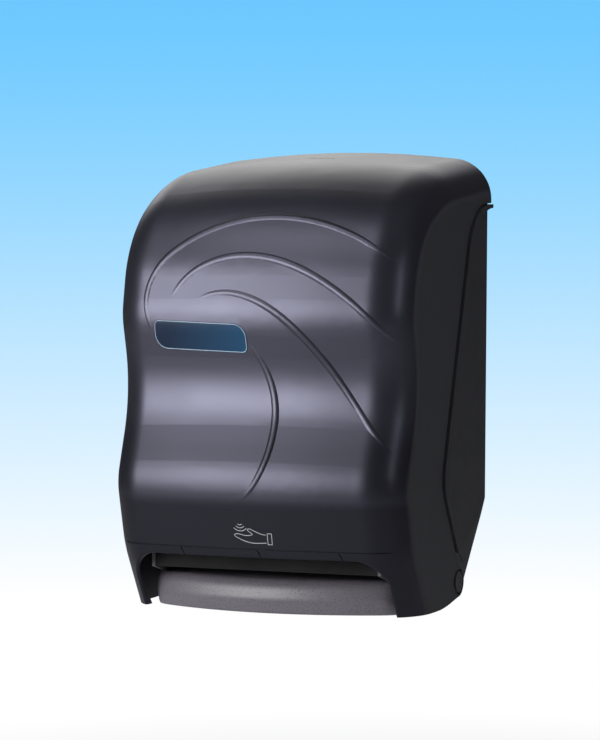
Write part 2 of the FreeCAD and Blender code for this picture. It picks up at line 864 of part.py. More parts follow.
def facet_cutter(side):
    """What is cut away to leave a flat facet low on the rear of one side of the housing."""
    inward = size("cover_wall") + size("nest_gap")
    outline = side_section(side * (size("cover_half_width") - inward), 0.0)
    face = Part.Face(outline)
    normal = face.normalAt(0, 0)
    normal = normal if normal.x * side > 0 else normal * -1

    def on_side(depth, height, under=0.0):
        base = outline.Vertexes[0].Point
        y, z = -depth, height
        x = base.x - ((y - base.y) * normal.y + (z - base.z) * normal.z) / normal.x
        return Vector(x, y, z) - normal * under

    rear = on_side(0.0, size("facet_rear_height"))
    front = on_side(size("facet_front_depth"), size("facet_front_height"))
    low = on_side(size("bevel_depth"), size("bevel_low_height"), size("facet_cut"))
    across = (front - rear).cross(low - rear).normalize()
    across = across if across.x * side > 0 else across * -1
    along = (front - rear).normalize()
    corners = [rear - along * FAR, rear + along * FAR]
    down = across.cross(along)
    down = down if down.z < 0 else down * -1
    corners += [corners[1] + down * FAR, corners[0] + down * FAR]
    return Part.Face(Part.makePolygon(corners + corners[:1])).extrude(across * 20)


def housing_shell():
    """The rear housing: wall plate, sides and top nested inside the cover, with its bead."""
    nest = size("cover_wall") + size("nest_gap")
    wall = size("housing_wall")
    shell = form(nest).common(housing_zone(0)).cut(form(nest + wall).common(housing_zone(wall)))
    return shell.cut([facet_cutter(1), facet_cutter(-1)]).fuse(seam_bead())


# Cover: moulding, badge and the hinge bores with their round pockets
cover_form = made("cover_form", cover_shell())
place(cover_form, "0", "0", "0")
bore_radius = "hinge_pin_radius + hinge_pin_clearance"
hinge_bore = rod("hinge_bore", "X", bore_radius, "4 * cover_half_width",
                 "-2 * cover_half_width", "-hinge_depth", "hinge_height")
pockets = []
for side, start in (("left", "-%s - 20 + hinge_pocket_depth" % HINGE_OUT),
                    ("right", "%s - hinge_pocket_depth" % HINGE_OUT)):
    pockets.append(rod(side + "_pocket", "X", "hinge_pocket_radius", "20", start,
                       "-hinge_depth", "hinge_height"))
node("cover", cut("cover_moulding", cover_form, [hinge_bore] + pockets))
badge = made("badge_form", badge_plate())
node("badge", place(badge, "0", "0", "0"))

# Rear housing with its four wall screw holes, hinge bosses and bores
housing_form = place(made("housing_form", housing_shell()), "0", "0", "0")
HOUSING_SIDE = "(%s - cover_wall - nest_gap - housing_wall)" % HINGE_OUT
bosses = []
for side, start in (("left", "-%s - 0.5" % HOUSING_SIDE),
                    ("right", "%s - hinge_boss_length" % HOUSING_SIDE)):
    bosses.append(rod(side + "_boss", "X", "hinge_boss_radius", "hinge_boss_length + 0.5",
                      start, "-hinge_depth", "hinge_height"))
wall_holes = []
for across in ("-", ""):
    for up in ("-", "+"):
        wall_holes.append(rod("wall_hole", "Y", "screw_hole_radius", "housing_wall + 4",
                              across + "screw_spacing_across / 2", "-housing_wall - 2",
                              "(origin_height %s screw_spacing_up / 2)" % up))
pin_hole = rod("pin_hole", "X", "hinge_pin_radius", "4 * cover_half_width",
               "-2 * cover_half_width", "-hinge_depth", "hinge_height")
RELIEF_X = ("(cover_half_width + (cover_depth - hinge_depth - swing_radius) * tan(side_draft)"
            " - cover_wall - joint_gap)")
reliefs = []
for side, start in (("left", "-%s - 20" % RELIEF_X), ("right", RELIEF_X)):
    reliefs.append(rod(side + "_relief", "X", "swing_radius", "20", start, "-hinge_depth",
                       "hinge_height"))
housing_body = join("housing_body", [housing_form] + bosses)
node("rear_housing", cut("housing_moulding", housing_body, wall_holes + [pin_hole] + reliefs))

# Hinge pins: pressed into the housing, with a flat head in the cover's pocket
for side, sign in (("left", "-"), ("right", "")):
    inner = "%s - hinge_boss_length" % HOUSING_SIDE
    outer = "%s - hinge_pocket_depth + joint_gap" % HINGE_OUT
    length = "(%s) - (%s)" % (outer, inner)
    start = inner if side == "right" else "-(%s)" % outer
    head = outer if side == "right" else "-(%s) - hinge_head_thickness" % outer
    shank = rod(side + "_pin_shank", "X", "hinge_pin_radius", length, start, "-hinge_depth",
                "hinge_height")
    cap = rod(side + "_pin_head", "X", "hinge_head_radius", "hinge_head_thickness", head,
              "-hinge_depth", "hinge_height")
    node(side + "_hinge_pin", join(side + "_pin", [shank, cap]))

# Tray: the rounded nose under the opening, bowed forward, over a hollow underside
TRAY_FLOOR = size("hinge_height") - size("housing_lug_radius") + size("housing_wall")


def tray_section(x, nose, wall):
    """One closed side section of the tray, drawn smaller all round by a wall."""
    rear, top = size("tray_rear_depth") + wall, size("tray_top") - wall
    crease, heel = size("tray_crease_height"), size("tray_heel_depth")
    front = nose - wall
    points = [(-rear, TRAY_FLOOR), (-rear, top), (size("tray_top_lean") - front, top),
              (-front, crease), (size("tray_undercut") - front, 0.0), (-heel, 0.0),
              (size("tray_heel_run") - heel, TRAY_FLOOR)]
    radii = [0.0, 1.0, size("tray_top_radius"), size("tray_crease_radius"),
             size("tray_low_radius"), 1.0, 0.0]
    if wall:
        # the room under the roof, open downwards
        back, soft = size("tray_room_setback") - front, size("tray_room_radius")
        points = [(-rear, -top), (-rear, top), (back + 1.0, top), (back - 1.0, crease),
                  (back, 0.0), (back, -top)]
        radii = [0.0, 1.0, soft, soft, 1.0, 0.0]
    edges = rounded_edges(points, radii, x)
    edges.append(Part.makeLine(Vector(x, *points[-1]), Vector(x, *points[0])))
    return Part.Wire(edges)


def tray_form(wall):
    """The bowed form of the tray, as a loft across its width, turned back at its ends."""
    half = size("tray_half_width") - wall
    steps = (0.25, 0.5, 0.75, 0.9, 0.95, 0.98, 1.0)
    sections = []
    for share in [-step for step in reversed(steps)] + [0.0] + list(steps):
        turned = size("tray_bow") * share ** 2 + size("tray_end_turn") * share ** 30
        sections.append(tray_section(share * half, size("tray_nose_depth") - turned, wall))
    return Part.makeLoft(sections, True, False)


def tray_shell():
    """The tray with its hollow underside."""
    return tray_form(0.0).cut(tray_form(size("tray_wall")))


node("tray", place(made("tray_moulding", tray_shell()), "0", "0", "0"))

# Side plates with their rear flanges
for side, sign in (("left", "-"), ("right", "")):
    plate = body(side + "_plate_body")
    offset = "plate_inner_half" if side == "right" else "-plate_inner_half"
    outline = sketch(plate, side + "_plate_outline", "YZ_Plane", offset)
    polygon(outline, [
        ("-housing_wall", "plate_rear_height"),
        ("-housing_wall", "plate_top_height"),
        ("-plate_shoulder_depth", "plate_top_height"),
        ("-plate_elbow_depth", "arm_pivot_height + plate_elbow_rise"),
        ("-plate_front_depth", "pinch_pivot_height + plate_nose_rise"),
        ("-plate_front_depth", "panel_low"),
        ("-plate_front_depth + plate_toe_run", "tray_top"),
        ("-tray_rear_depth - plate_tray_lap", "tray_top"),
    ])
    pad(plate, side + "_plate_pad", outline, "plate_thickness", reverse=side == "left")
    flange = sketch(plate, side + "_flange", "XZ_Plane", "housing_wall")
    edge, out = sign + "plate_inner_half", sign + "(%s + flange_width)" % PLATE_OUT
    polygon(flange, [(edge, "flange_low"), (out, "flange_low"), (out, "flange_high"),
                     (edge, "flange_high")])
    pad(plate, side + "_flange_pad", flange, "plate_thickness")
    holes = sketch(plate, side + "_plate_holes", "YZ_Plane", offset)
    circle(holes, "bushing_radius", "-roller_depth", "roller_height")
    circle(holes, "pinch_rod_radius", "-pinch_pivot_depth", "pinch_pivot_height")
    circle(holes, "tie_rod_radius", "-low_tie_depth", "plate_rear_height - low_tie_drop")
    circle(holes, "tie_rod_radius", "-high_tie_depth", "panel_knee + high_tie_rise")
    if side == "right":
        circle(holes, "idler_axle_radius", IDLER_Y, IDLER_Z)
        circle(holes, "motor_shaft_radius + 1.5", PINION_Y, PINION_Z)
    pocket(plate, side + "_plate_drill", holes, "40", midplane=True)
    lugs = sketch(plate, side + "_lugs", "XZ_Plane",
                  "roll_centre_depth - arm_width / 2 - lug_thickness - joint_gap")
    low, high = "arm_pivot_height - lug_half_height", "arm_pivot_height + lug_half_height"
    tip = sign + "(%s + lug_reach)" % BARREL_X
    root = sign + "(plate_inner_half + 1)"
    polygon(lugs, [(root, low), (tip, low), (tip, high), (root, high)])
    pad(plate, side + "_lugs_pad", lugs, "arm_width + 2 * lug_thickness + 2 * joint_gap")
    gap = sketch(plate, side + "_lug_gap", "XZ_Plane",
                 "roll_centre_depth - arm_width / 2 - joint_gap")
    face_out = sign + PLATE_OUT
    far_out = sign + "(%s + 30)" % BARREL_X
    polygon(gap, [(face_out, low + " - 2"), (far_out, low + " - 2"), (far_out, high + " + 2"),
                  (face_out, high + " + 2")])
    pocket(plate, side + "_lug_slot", gap, "arm_width + 2 * joint_gap", reverse=True)
    bore = sketch(plate, side + "_lug_bore", "XZ_Plane", "roll_centre_depth - arm_width")
    circle(bore, "arm_pin_radius", sign + BARREL_X, "arm_pivot_height")
    pocket(plate, side + "_lug_drill", bore, "2 * arm_width", reverse=True)
    node(side + "_side_plate", plate)


# Rods and screws that tie the two side plates together
SPAN = "2 * %s" % PLATE_OUT
PLATE_LEFT = "-%s" % PLATE_OUT
low_tie = rod("low_tie", "X", "tie_rod_radius", SPAN, PLATE_LEFT,
              "-low_tie_depth", "(plate_rear_height - low_tie_drop)")
high_tie = rod("high_tie", "X", "tie_rod_radius", SPAN, PLATE_LEFT,
               "-high_tie_depth", "(panel_knee + high_tie_rise)")
node("tie_rods", group("tie_rods_group", [low_tie, high_tie]))


def screw(name, axis, x, y, z, back=False, length="6"):
    """A small pan head screw: a shank that starts at the seat, and its head behind it."""
    ahead = rod(name + "_shank", axis, "small_screw_radius", length, x, y, z)
    spot = {"X": x, "Y": y, "Z": z}
    shift = " + %s" % length if back else " - small_head_height"
    spot[axis] = "(%s%s)" % (spot[axis], shift)
    cap = rod(name + "_cap", axis, "small_head_radius", "small_head_height", spot["X"],
              spot["Y"], spot["Z"])
    return join(name, [ahead, cap])


def driven(label, screws, holders):
    """Group like screws into one node and cut their shanks out of what they hold."""
    made_group = node(label, group(label + "_group", screws))
    for held in holders:
        plain = nodes[held]
        plain.Label = held + "_plain"
        node(held, cut(held + "_drilled", plain, [group(held + label + "_holes", screws)]))
    return made_group


flange_screws = []
for sign in ("-", ""):
    for height in ("(flange_low + 12)", "(flange_high - 12)"):
        flange_screws.append(screw(
            "flange_screw", "Y", sign + "(%s + flange_width / 2)" % PLATE_OUT,
            "(-housing_wall - plate_thickness)", height,
            length="(housing_wall + plate_thickness - 0.5)"))
driven("frame_screws", flange_screws,
       ["rear_housing", "left_side_plate", "right_side_plate"])

# Bushings in the side plates, and the drive roller that turns in them
bushings = []
for side, wall, flange in (
        ("left", PLATE_LEFT, "%s - bushing_flange_thickness" % PLATE_LEFT),
        ("right", "plate_inner_half", PLATE_OUT)):
    sleeve = rod(side + "_bush", "X", "bushing_radius", "plate_thickness", wall,
                 "-roller_depth", "roller_height")
    rim_disc = rod(side + "_bush_rim", "X", "bushing_flange_radius",
                   "bushing_flange_thickness", flange, "-roller_depth", "roller_height")
    hole = rod(side + "_bush_hole", "X", "shaft_radius + running_fit", "60",
               "%s - 30" % wall, "-roller_depth", "roller_height")
    bushings.append(cut(side + "_bushing", join(side + "_bush_body", [sleeve, rim_disc]),
                        [hole]))
node("roller_bushings", group("roller_bushings_group", bushings))

roller = body("roller_body")
place(roller, "0", "-roller_depth", "roller_height")
roller_side = sketch(roller, "roller_side", "XY_Plane")
polygon(roller_side, [
    ("-%s - 3" % PLATE_OUT, "0"),
    ("-%s - 3" % PLATE_OUT, "shaft_radius"),
    ("-roller_core_half", "shaft_radius"),
    ("-roller_core_half", "roller_core_radius"),
    ("roller_core_half", "roller_core_radius"),
    ("roller_core_half", "shaft_radius"),
    ("%s + gear_width + 1" % GEAR_X, "shaft_radius"),
    ("%s + gear_width + 1" % GEAR_X, "0"),
])
revolve(roller, "roller_turn", roller_side)
node("drive_roller", roller)
sleeves = []
for number in (-1, 0, 1):
    start = "%d * sleeve_spacing - sleeve_length / 2" % number
    skin = rod("sleeve_skin", "X", "sleeve_radius", "sleeve_length", start, "-roller_depth",
               "roller_height")
    hole = rod("sleeve_hole", "X", "roller_core_radius", "sleeve_length", start,
               "-roller_depth", "roller_height")
    sleeves.append(cut("sleeve", skin, [hole]))
node("roller_sleeves", group("roller_sleeves_group", sleeves))


# Gears


def gear_wire(teeth, phase):
    """A spur gear outline in the YZ plane, with a tooth centred at the phase angle."""
    module, slack = size("gear_module"), size("gear_backlash")
    pitch = module * teeth / 2
    tip, root = pitch + module, pitch - 1.25 * module
    pressure = math.radians(25)
    base = pitch * math.cos(pressure)
    spread = math.pi / (2 * teeth) - slack / (2 * pitch) + math.tan(pressure) - pressure
    low = max(base, root)
    points = []
    for tooth in range(teeth):
        middle = phase + 2 * math.pi * tooth / teeth
        flank = []
        for share in (0.0, 0.35, 0.7, 1.0):
            radius = low + (tip - low) * share
            rolled = math.acos(min(1.0, base / radius))
            flank.append((radius, spread - math.tan(rolled) + rolled))
        if root < low:
            flank.insert(0, (root, flank[0][1]))
        points += [(radius, middle - half) for radius, half in flank]
        points += [(radius, middle + half) for radius, half in reversed(flank)]
    corners = [Vector(0, r * math.cos(a), r * math.sin(a)) for r, a in points]
    return Part.makePolygon(corners + [corners[0]])


def gear(name, teeth, phase, bore, x, y, z):
    face = Part.Face(gear_wire(teeth, phase))
    blank = face.extrude(Vector(size("gear_width"), 0, 0))
    hole = Part.makeCylinder(bore, 50, Vector(-10, 0, 0), Vector(1, 0, 0))
    return place(made(name, blank.cut(hole)), x, y, z)


drive_teeth, idler_teeth = int(size("drive_teeth")), int(size("idler_teeth"))
pinion_teeth = int(size("pinion_teeth"))
idler_at = math.radians(size("idler_angle"))
pinion_at = math.radians(size("pinion_angle"))
idler_phase = idler_at + math.pi + math.pi / idler_teeth
idler_pitch = 2 * math.pi / idler_teeth
ahead = (pinion_at - idler_phase) % idler_pitch
pinion_phase = pinion_at + math.pi + ahead * idler_teeth / pinion_teeth
pinion_phase += math.pi / pinion_teeth
node("drive_gear", gear("drive_gear_form", drive_teeth, idler_at, size("shaft_radius"),
                        GEAR_X, "-roller_depth", "roller_height"))
node("idler_gear", gear("idler_gear_form", idler_teeth, idler_phase,
                        size("idler_axle_radius") + size("running_fit"), GEAR_X, IDLER_Y,
                        IDLER_Z))
node("motor_pinion", gear("motor_pinion_form", pinion_teeth, pinion_phase,
                          size("motor_shaft_radius"), GEAR_X, PINION_Y, PINION_Z))
axle_shank = rod("axle_shank", "X", "idler_axle_radius",
                 "plate_thickness + gear_offset + gear_width + 1.6", "plate_inner_half", IDLER_Y,
                 IDLER_Z)
axle_collar = rod("axle_collar", "X", "idler_axle_radius + 2", "gear_offset - joint_gap",
                  PLATE_OUT, IDLER_Y, IDLER_Z)
node("idler_axle", join("idler_axle_body", [axle_shank, axle_collar]))

# Gear cover: a cap over the whole train, standing on the right side plate
GEAR_ROOM = "(gear_offset + gear_width + 4)"
cap_outer = [rod("cap_drive", "X", "gear_module * (drive_teeth / 2 + 1) + 4",
                 GEAR_ROOM + " + gear_cover_wall", PLATE_OUT, "-roller_depth", "roller_height"),
             rod("cap_idler", "X", "gear_module * (idler_teeth / 2 + 1) + 4",
                 GEAR_ROOM + " + gear_cover_wall", PLATE_OUT, IDLER_Y, IDLER_Z),
             rod("cap_pinion", "X", "gear_module * (pinion_teeth / 2 + 1) + 7",
                 GEAR_ROOM + " + gear_cover_wall", PLATE_OUT, PINION_Y, PINION_Z)]
cap_inner = [rod("room_drive", "X", "gear_module * (drive_teeth / 2 + 1) + 4 - gear_cover_wall",
                 GEAR_ROOM, PLATE_OUT, "-roller_depth", "roller_height"),
             rod("room_idler", "X", "gear_module * (idler_teeth / 2 + 1) + 4 - gear_cover_wall",
                 GEAR_ROOM, PLATE_OUT, IDLER_Y, IDLER_Z),
             rod("room_pinion", "X", "gear_module * (pinion_teeth / 2 + 1) + 7 - gear_cover_wall",
                 GEAR_ROOM, PLATE_OUT, PINION_Y, PINION_Z)]
node("gear_cover", cut("gear_cap", join("gear_cap_skin", cap_outer), cap_inner))

# Motor with its shaft, and two screws into the right side plate
can = rod("motor_can", "X", "motor_radius", "motor_length", "plate_inner_half - motor_length",
          PINION_Y, PINION_Z)
tail = rod("motor_tail", "X", "motor_radius * 0.45", "3",
           "plate_inner_half - motor_length - 3", PINION_Y, PINION_Z)
neck = rod("motor_neck", "X", "motor_shaft_radius + 1.5", "plate_thickness", "plate_inner_half",
           PINION_Y, PINION_Z)
node("motor", join("motor_body", [can, tail, neck]))
shaft = rod("motor_shaft_rod", "X", "motor_shaft_radius", "gear_offset + gear_width", PLATE_OUT,
            PINION_Y, PINION_Z)
node("motor_shaft", shaft)
motor_screws = [screw("motor_screw", "X", "(plate_inner_half - 5)",
                      "(%s %s 8.5)" % (PINION_Y, sign), PINION_Z, back=True,
                      length="(plate_thickness + 5)") for sign in ("-", "+")]
driven("motor_screws", motor_screws, ["right_side_plate", "motor"])

# Pinch roller on its swinging arm, pressed towards the drive roller
pinch = body("pinch_roller_body")
place(pinch, "0", PINCH_Y, "roller_height")
pinch_side = sketch(pinch, "pinch_side", "XY_Plane")
polygon(pinch_side, [
    ("-cheek_inner_half - cheek_thickness", "0"),
    ("-cheek_inner_half - cheek_thickness", "pinch_shaft_radius"),
    ("-cheek_inner_half + 1", "pinch_shaft_radius"),
    ("-cheek_inner_half + 1", "pinch_radius"),
    ("cheek_inner_half - 1", "pinch_radius"),
    ("cheek_inner_half - 1", "pinch_shaft_radius"),
    ("cheek_inner_half + cheek_thickness", "pinch_shaft_radius"),
    ("cheek_inner_half + cheek_thickness", "0"),
])
revolve(pinch, "pinch_turn", pinch_side)
node("pinch_roller", pinch)
cheeks = []
for side, start in (("left", "-cheek_inner_half - cheek_thickness"),
                    ("right", "cheek_inner_half")):
    cheek = body(side + "_cheek")
    cheek_face = sketch(cheek, side + "_cheek_face", "YZ_Plane", start)
    polygon(cheek_face, [
        (PINCH_Y + " - 5.5", "roller_height - 5"),
        (PINCH_Y + " + 5.5", "roller_height - 5"),
        (PINCH_Y + " + 5.5", "roller_height + 6"),
        ("-pinch_pivot_depth + bridge_setback + bridge_thickness", "pinch_pivot_height - 2"),
        ("-pinch_pivot_depth + bridge_setback + bridge_thickness", "pinch_pivot_height + 5"),
        ("-pinch_pivot_depth - 5", "pinch_pivot_height + 5"),
        ("-pinch_pivot_depth - 5", "pinch_pivot_height - 6"),
    ])
    pad(cheek, side + "_cheek_pad", cheek_face, "cheek_thickness")
    cheek_holes = sketch(cheek, side + "_cheek_holes", "YZ_Plane", start)
    circle(cheek_holes, "pinch_rod_radius + running_fit", "-pinch_pivot_depth",
           "pinch_pivot_height")
    circle(cheek_holes, "pinch_shaft_radius + running_fit", PINCH_Y, "roller_height")
    pocket(cheek, side + "_cheek_drill", cheek_holes, "4 * cheek_thickness", midplane=True)
    cheeks.append(cheek)
bridge = block("cheek_bridge", "-cheek_inner_half - 0.5",
               "-pinch_pivot_depth + bridge_setback", "pinch_pivot_height - 2",
               "2 * cheek_inner_half + 1", "bridge_thickness", "7")
node("pinch_arm", join("pinch_arm_body", cheeks + [bridge]))
node("pinch_rod", rod("pinch_rod_body", "X", "pinch_rod_radius", SPAN, PLATE_LEFT,
                      "-pinch_pivot_depth", "pinch_pivot_height"))


def coil(radius, wire, pitch, turns):
    """A round wire coil along +Z, with a whole number of turns."""
    path = Part.makeHelix(pitch, pitch * turns, radius)
    start = Part.Wire(Part.makeCircle(wire, Vector(radius, 0, 0), Vector(0, 1, 0)))
    return Part.Wire(path.Edges).makePipeShell([start], True, True)


# Front panel: the dark inner wall behind the opening, bent back over the rollers
panel = body("front_panel_body")
panel_side = sketch(panel, "panel_side", "YZ_Plane")
polygon(panel_side, [
    ("-panel_depth", "panel_low"),
    ("-panel_depth - panel_wall", "panel_low"),
    ("-panel_depth - panel_wall", "panel_knee + 1"),
    ("-panel_back_depth", "panel_back_height + panel_wall + 1"),
    ("-panel_back_depth", "panel_back_height"),
    ("-panel_depth", "panel_knee"),
])
pad(panel, "panel_pad", panel_side, "2 * plate_inner_half", midplane=True)
node("front_panel", panel)
panel_face = "-panel_depth - panel_wall"

# Tear bar: a toothed steel strip on the front panel, over the paper's way out
tear = body("tear_bar_body")
tear_face = sketch(tear, "tear_face", "XZ_Plane", "panel_depth + panel_wall")
polygon(tear_face, [
    ("-tear_bar_half_length", "tear_bar_low"),
    ("tear_bar_half_length", "tear_bar_low"),
    ("tear_bar_half_length", "tear_bar_low + tear_bar_height"),
    ("-tear_bar_half_length", "tear_bar_low + tear_bar_height"),
])
pad(tear, "tear_pad", tear_face, "tear_bar_thickness")
tooth_gap = sketch(tear, "tooth_gap", "XZ_Plane", "panel_depth + panel_wall")
polygon(tooth_gap, [
    ("-tear_bar_half_length", "tear_bar_low - 1"),
    ("-tear_bar_half_length + tear_tooth_pitch", "tear_bar_low - 1"),
    ("-tear_bar_half_length + tear_tooth_pitch / 2", "tear_bar_low + tear_tooth_depth"),
])
first_gap = pocket(tear, "first_gap", tooth_gap, "4 * tear_bar_thickness", midplane=True)
teeth = tear.newObject("PartDesign::LinearPattern", "tear_teeth")
teeth.Originals = [first_gap]
teeth.Direction = (tooth_gap, ["H_Axis"])
gap_count = int(2 * size("tear_bar_half_length") / size("tear_tooth_pitch"))
teeth.Occurrences = gap_count
bind(teeth, "Length", "tear_tooth_pitch * %d" % (gap_count - 1))
tear.Tip = teeth
node("tear_bar", tear)
bar_screws = [screw("bar_screw", "Y", x, "(%s - tear_bar_thickness)" % panel_face,
                    "(tear_bar_low + tear_bar_height - 4.5)",
                    length="(tear_bar_thickness + panel_wall - 0.4)")
              for x in ("-(tear_bar_half_length - 14)", "0", "(tear_bar_half_length - 14)")]
driven("tear_bar_screws", bar_screws, ["tear_bar", "front_panel"])

# Pinch springs: two torsion coils on the pinch rod, one leg to the panel, one to the arm
def torsion_coil():
    """A coil along +Z whose two straight legs run off along -Y and +Y."""
    wire = size("spring_wire_radius")
    radius = size("pinch_rod_radius") + size("joint_gap") + wire
    length = SPRING_TURNS * size("spring_pitch")
    first_leg = size("pivot_setback") - size("joint_gap")
    last_leg = size("bridge_setback") + size("bridge_thickness")
    turns = coil(radius, wire, size("spring_pitch"), SPRING_TURNS)
    first = Part.makeCylinder(wire, first_leg, Vector(radius, 0, 0), Vector(0, -1, 0))
    last = Part.makeCylinder(wire, last_leg, Vector(radius, 0, length), Vector(0, 1, 0))
    return turns.fuse([first, last])


SPRING_TURNS = 5
springs = []
for start in ("-cheek_inner_half + 1", "cheek_inner_half - %d * spring_pitch - 1" % SPRING_TURNS):
    spring = made("pinch_coil", torsion_coil())
    spring.Placement = Placement(Vector(), TURNS["X"])
    springs.append(place(spring, start, "-pinch_pivot_depth", "pinch_pivot_height"))
node("pinch_springs", group("pinch_springs_group", springs))

# Hand sensor on the front panel: its box, its dark lens and a small lamp beside it
sensor_x = "(sensor_centre_across - sensor_width / 2)"
sensor_y = "(%s - sensor_depth)" % panel_face
box_skin = block("sensor_skin", sensor_x, sensor_y, "sensor_low", "sensor_width",
                 "sensor_depth", "sensor_height")
box_room = block("sensor_room", sensor_x + " + 1.6", sensor_y + " - 1", "sensor_low + 1.6",
                 "sensor_width - 3.2", "sensor_depth - 0.6", "sensor_height - 3.2")
node("sensor_box", cut("sensor_box_body", box_skin, [box_room]))
lens = block("sensor_pane", sensor_x + " + 1.6", sensor_y, "sensor_low + 1.6",
             "sensor_width - 3.2", "lens_thickness", "sensor_height - 3.2")
lamp_hole = rod("lamp_hole", "Y", "2.2", "20", "sensor_centre_across + sensor_width / 2 - 6",
                sensor_y + " - 5", "(sensor_low + sensor_height / 2)")
node("sensor_lens", cut("sensor_lens_body", lens, [lamp_hole]))
node("indicator_lamp", rod("lamp", "Y", "2.2", "lens_thickness + 5",
                           "sensor_centre_across + sensor_width / 2 - 6", sensor_y,
                           "(sensor_low + sensor_height / 2)"))

# Roll arms: two hinged arms on pins along Y, each with a free turning hub
for side, sign in (("left", "-"), ("right", "")):
    inner = sign + ARM_X
    start = inner if side == "right" else "-(%s + arm_thickness)" % ARM_X
    arm_low = "(arm_pivot_height + arm_barrel_radius * 0.4)"
    web = block(side + "_arm_web", start, "-roll_centre_depth - arm_width / 2", arm_low,
                "arm_thickness", "arm_width", "roll_centre_height - " + arm_low)
    eye = rod(side + "_arm_eye", "X", "arm_width / 2 + 3", "arm_thickness", start,
              "-roll_centre_depth", "roll_centre_height")
    barrel = rod(side + "_arm_barrel", "Y", "arm_barrel_radius", "arm_width", sign + BARREL_X,
                 "-roll_centre_depth - arm_width / 2", "arm_pivot_height")
    stiffener = block(side + "_arm_rib", sign + ARM_X if side == "right" else
                      "-(%s + arm_thickness + 4)" % ARM_X, "-roll_centre_depth - 1.5",
                      "(arm_pivot_height + 2)", "arm_thickness + 4", "3",
                      "roll_centre_height - arm_pivot_height - 18")
    pin_way = rod(side + "_pin_way", "Y", "arm_pin_radius + running_fit", "3 * arm_width",
                  sign + BARREL_X, "-roll_centre_depth - arm_width * 1.5", "arm_pivot_height")
    hub_way = rod(side + "_hub_way", "X", "hub_axle_radius + running_fit", "60",
                  sign + ARM_X + " - 30", "-roll_centre_depth", "roll_centre_height")
    node(side + "_roll_arm", cut(side + "_arm", join(side + "_arm_body",
                                 [web, eye, barrel, stiffener]), [pin_way, hub_way]))
    hub = body(side + "_hub_body")
    place(hub, sign + ARM_X, "-roll_centre_depth", "roll_centre_height")
    inward = "-" if side == "right" else ""
    outward = "" if side == "right" else "-"
    hub_side = sketch(hub, side + "_hub_side", "XY_Plane")
    reach = "(arm_thickness + joint_gap)"
    polygon(hub_side, [
        (inward + "(hub_nose_length + 2)", "0"),
        (inward + "(hub_nose_length + 2)", "hub_radius - 4"),
        (inward + "(hub_nose_length - 2)", "hub_radius"),
        (inward + "3", "hub_radius"),
        (inward + "3", "hub_radius + 3.5"),
        (inward + "joint_gap", "hub_radius + 3.5"),
        (inward + "joint_gap", "hub_axle_radius"),
        (outward + reach, "hub_axle_radius"),
        (outward + reach, "hub_clip_radius"),
        (outward + "(%s + hub_clip_thickness)" % reach, "hub_clip_radius"),
        (outward + "(%s + hub_clip_thickness)" % reach, "0"),
    ])
    revolve(hub, side + "_hub_turn", hub_side)
    node(side + "_hub", hub)
pins = [rod("arm_pin", "Y", "arm_pin_radius", "arm_width + 2 * lug_thickness + 2 * joint_gap",
            sign + BARREL_X, "-roll_centre_depth - arm_width / 2 - lug_thickness - joint_gap",
            "arm_pivot_height") for sign in ("-", "")]
node("arm_pins", group("arm_pins_group", pins))

# Battery case on the housing's wall plate: two rows of two cells, contacts, springs, door
CASE_DEPTH = "(2 * cell_radius + 2 * case_wall + 1.5)"
CASE_WIDTH = "(2 * cell_length + 2 * contact_thickness + contact_room + 2 * case_wall + 0.6)"
CASE_HEIGHT = "(cell_pitch + 2 * cell_radius + 2 * case_wall + 0.8)"
case_y = "(%s - %s)" % (HOUSING_FACE, CASE_DEPTH)
case_skin = block("case_skin", "-case_left", case_y, "case_low", CASE_WIDTH, CASE_DEPTH,
                  CASE_HEIGHT)
case_room = block("case_room", "-case_left + case_wall", case_y + " - 1",
                  "case_low + case_wall", CASE_WIDTH + " - 2 * case_wall",
                  CASE_DEPTH + " - case_wall + 1", CASE_HEIGHT + " - 2 * case_wall")
node("battery_case", cut("battery_case_body", case_skin, [case_room]))
cells = []
contacts = []
coils = []
cell_start = "(-case_left + case_wall + contact_thickness + contact_room)"
for row in (0, 1):
    height = "(case_low + case_wall + 0.4 + cell_radius + %d * cell_pitch)" % row
    depth = "(%s + case_wall + cell_radius - 0.4)" % case_y
    for column in (0, 1):
        start = "(%s + %d * (cell_length + 0.2))" % (cell_start, column)
        can_part = rod("cell_can", "X", "cell_radius", "cell_length - 1.5", start, depth, height)
        nub = rod("cell_nub", "X", "4.8", "1.5", start + " + cell_length - 1.5", depth, height)
        cells.append(join("cell", [can_part, nub]))
    contacts.append(block("spring_plate", "-case_left + case_wall", depth + " - 10",
                          height + " - 12", "contact_thickness", "20", "24"))
    contacts.append(block("flat_plate", cell_start + " + 2 * cell_length + 0.2", depth + " - 10",
                          height + " - 12", "contact_thickness", "20", "24"))
    winding = made("battery_coil", coil(5.0, 0.4, 0.95, 2))
    winding.Placement = Placement(Vector(), TURNS["X"])
    coils.append(place(winding, "-case_left + case_wall + contact_thickness + 0.6", depth,
                       height))
node("d_cells", group("d_cells_group", cells))
node("battery_contacts", group("battery_contacts_group", contacts))
node("battery_springs", group("battery_springs_group", coils))
door_y = "(%s - joint_gap - door_thickness)" % case_y
door_leaf = block("door_leaf", "-case_left + 1", door_y, "case_low + 1", CASE_WIDTH + " - 2",
                  "door_thickness", CASE_HEIGHT + " - 2")
door_grip = block("door_grip", "-case_left + %s / 2 - 12" % CASE_WIDTH, door_y + " - 2.5",
                  "case_low + %s - 12" % CASE_HEIGHT, "24", "3", "5")
door_roll = rod("door_roll", "X", "door_hinge_radius", "24", "-case_left + 8",
                door_y + " - door_hinge_radius + door_thickness", "(case_low + 1)")
door_roll_far = rod("door_roll_far", "X", "door_hinge_radius", "24",
                    "-case_left + %s - 32" % CASE_WIDTH,
                    door_y + " - door_hinge_radius + door_thickness", "(case_low + 1)")
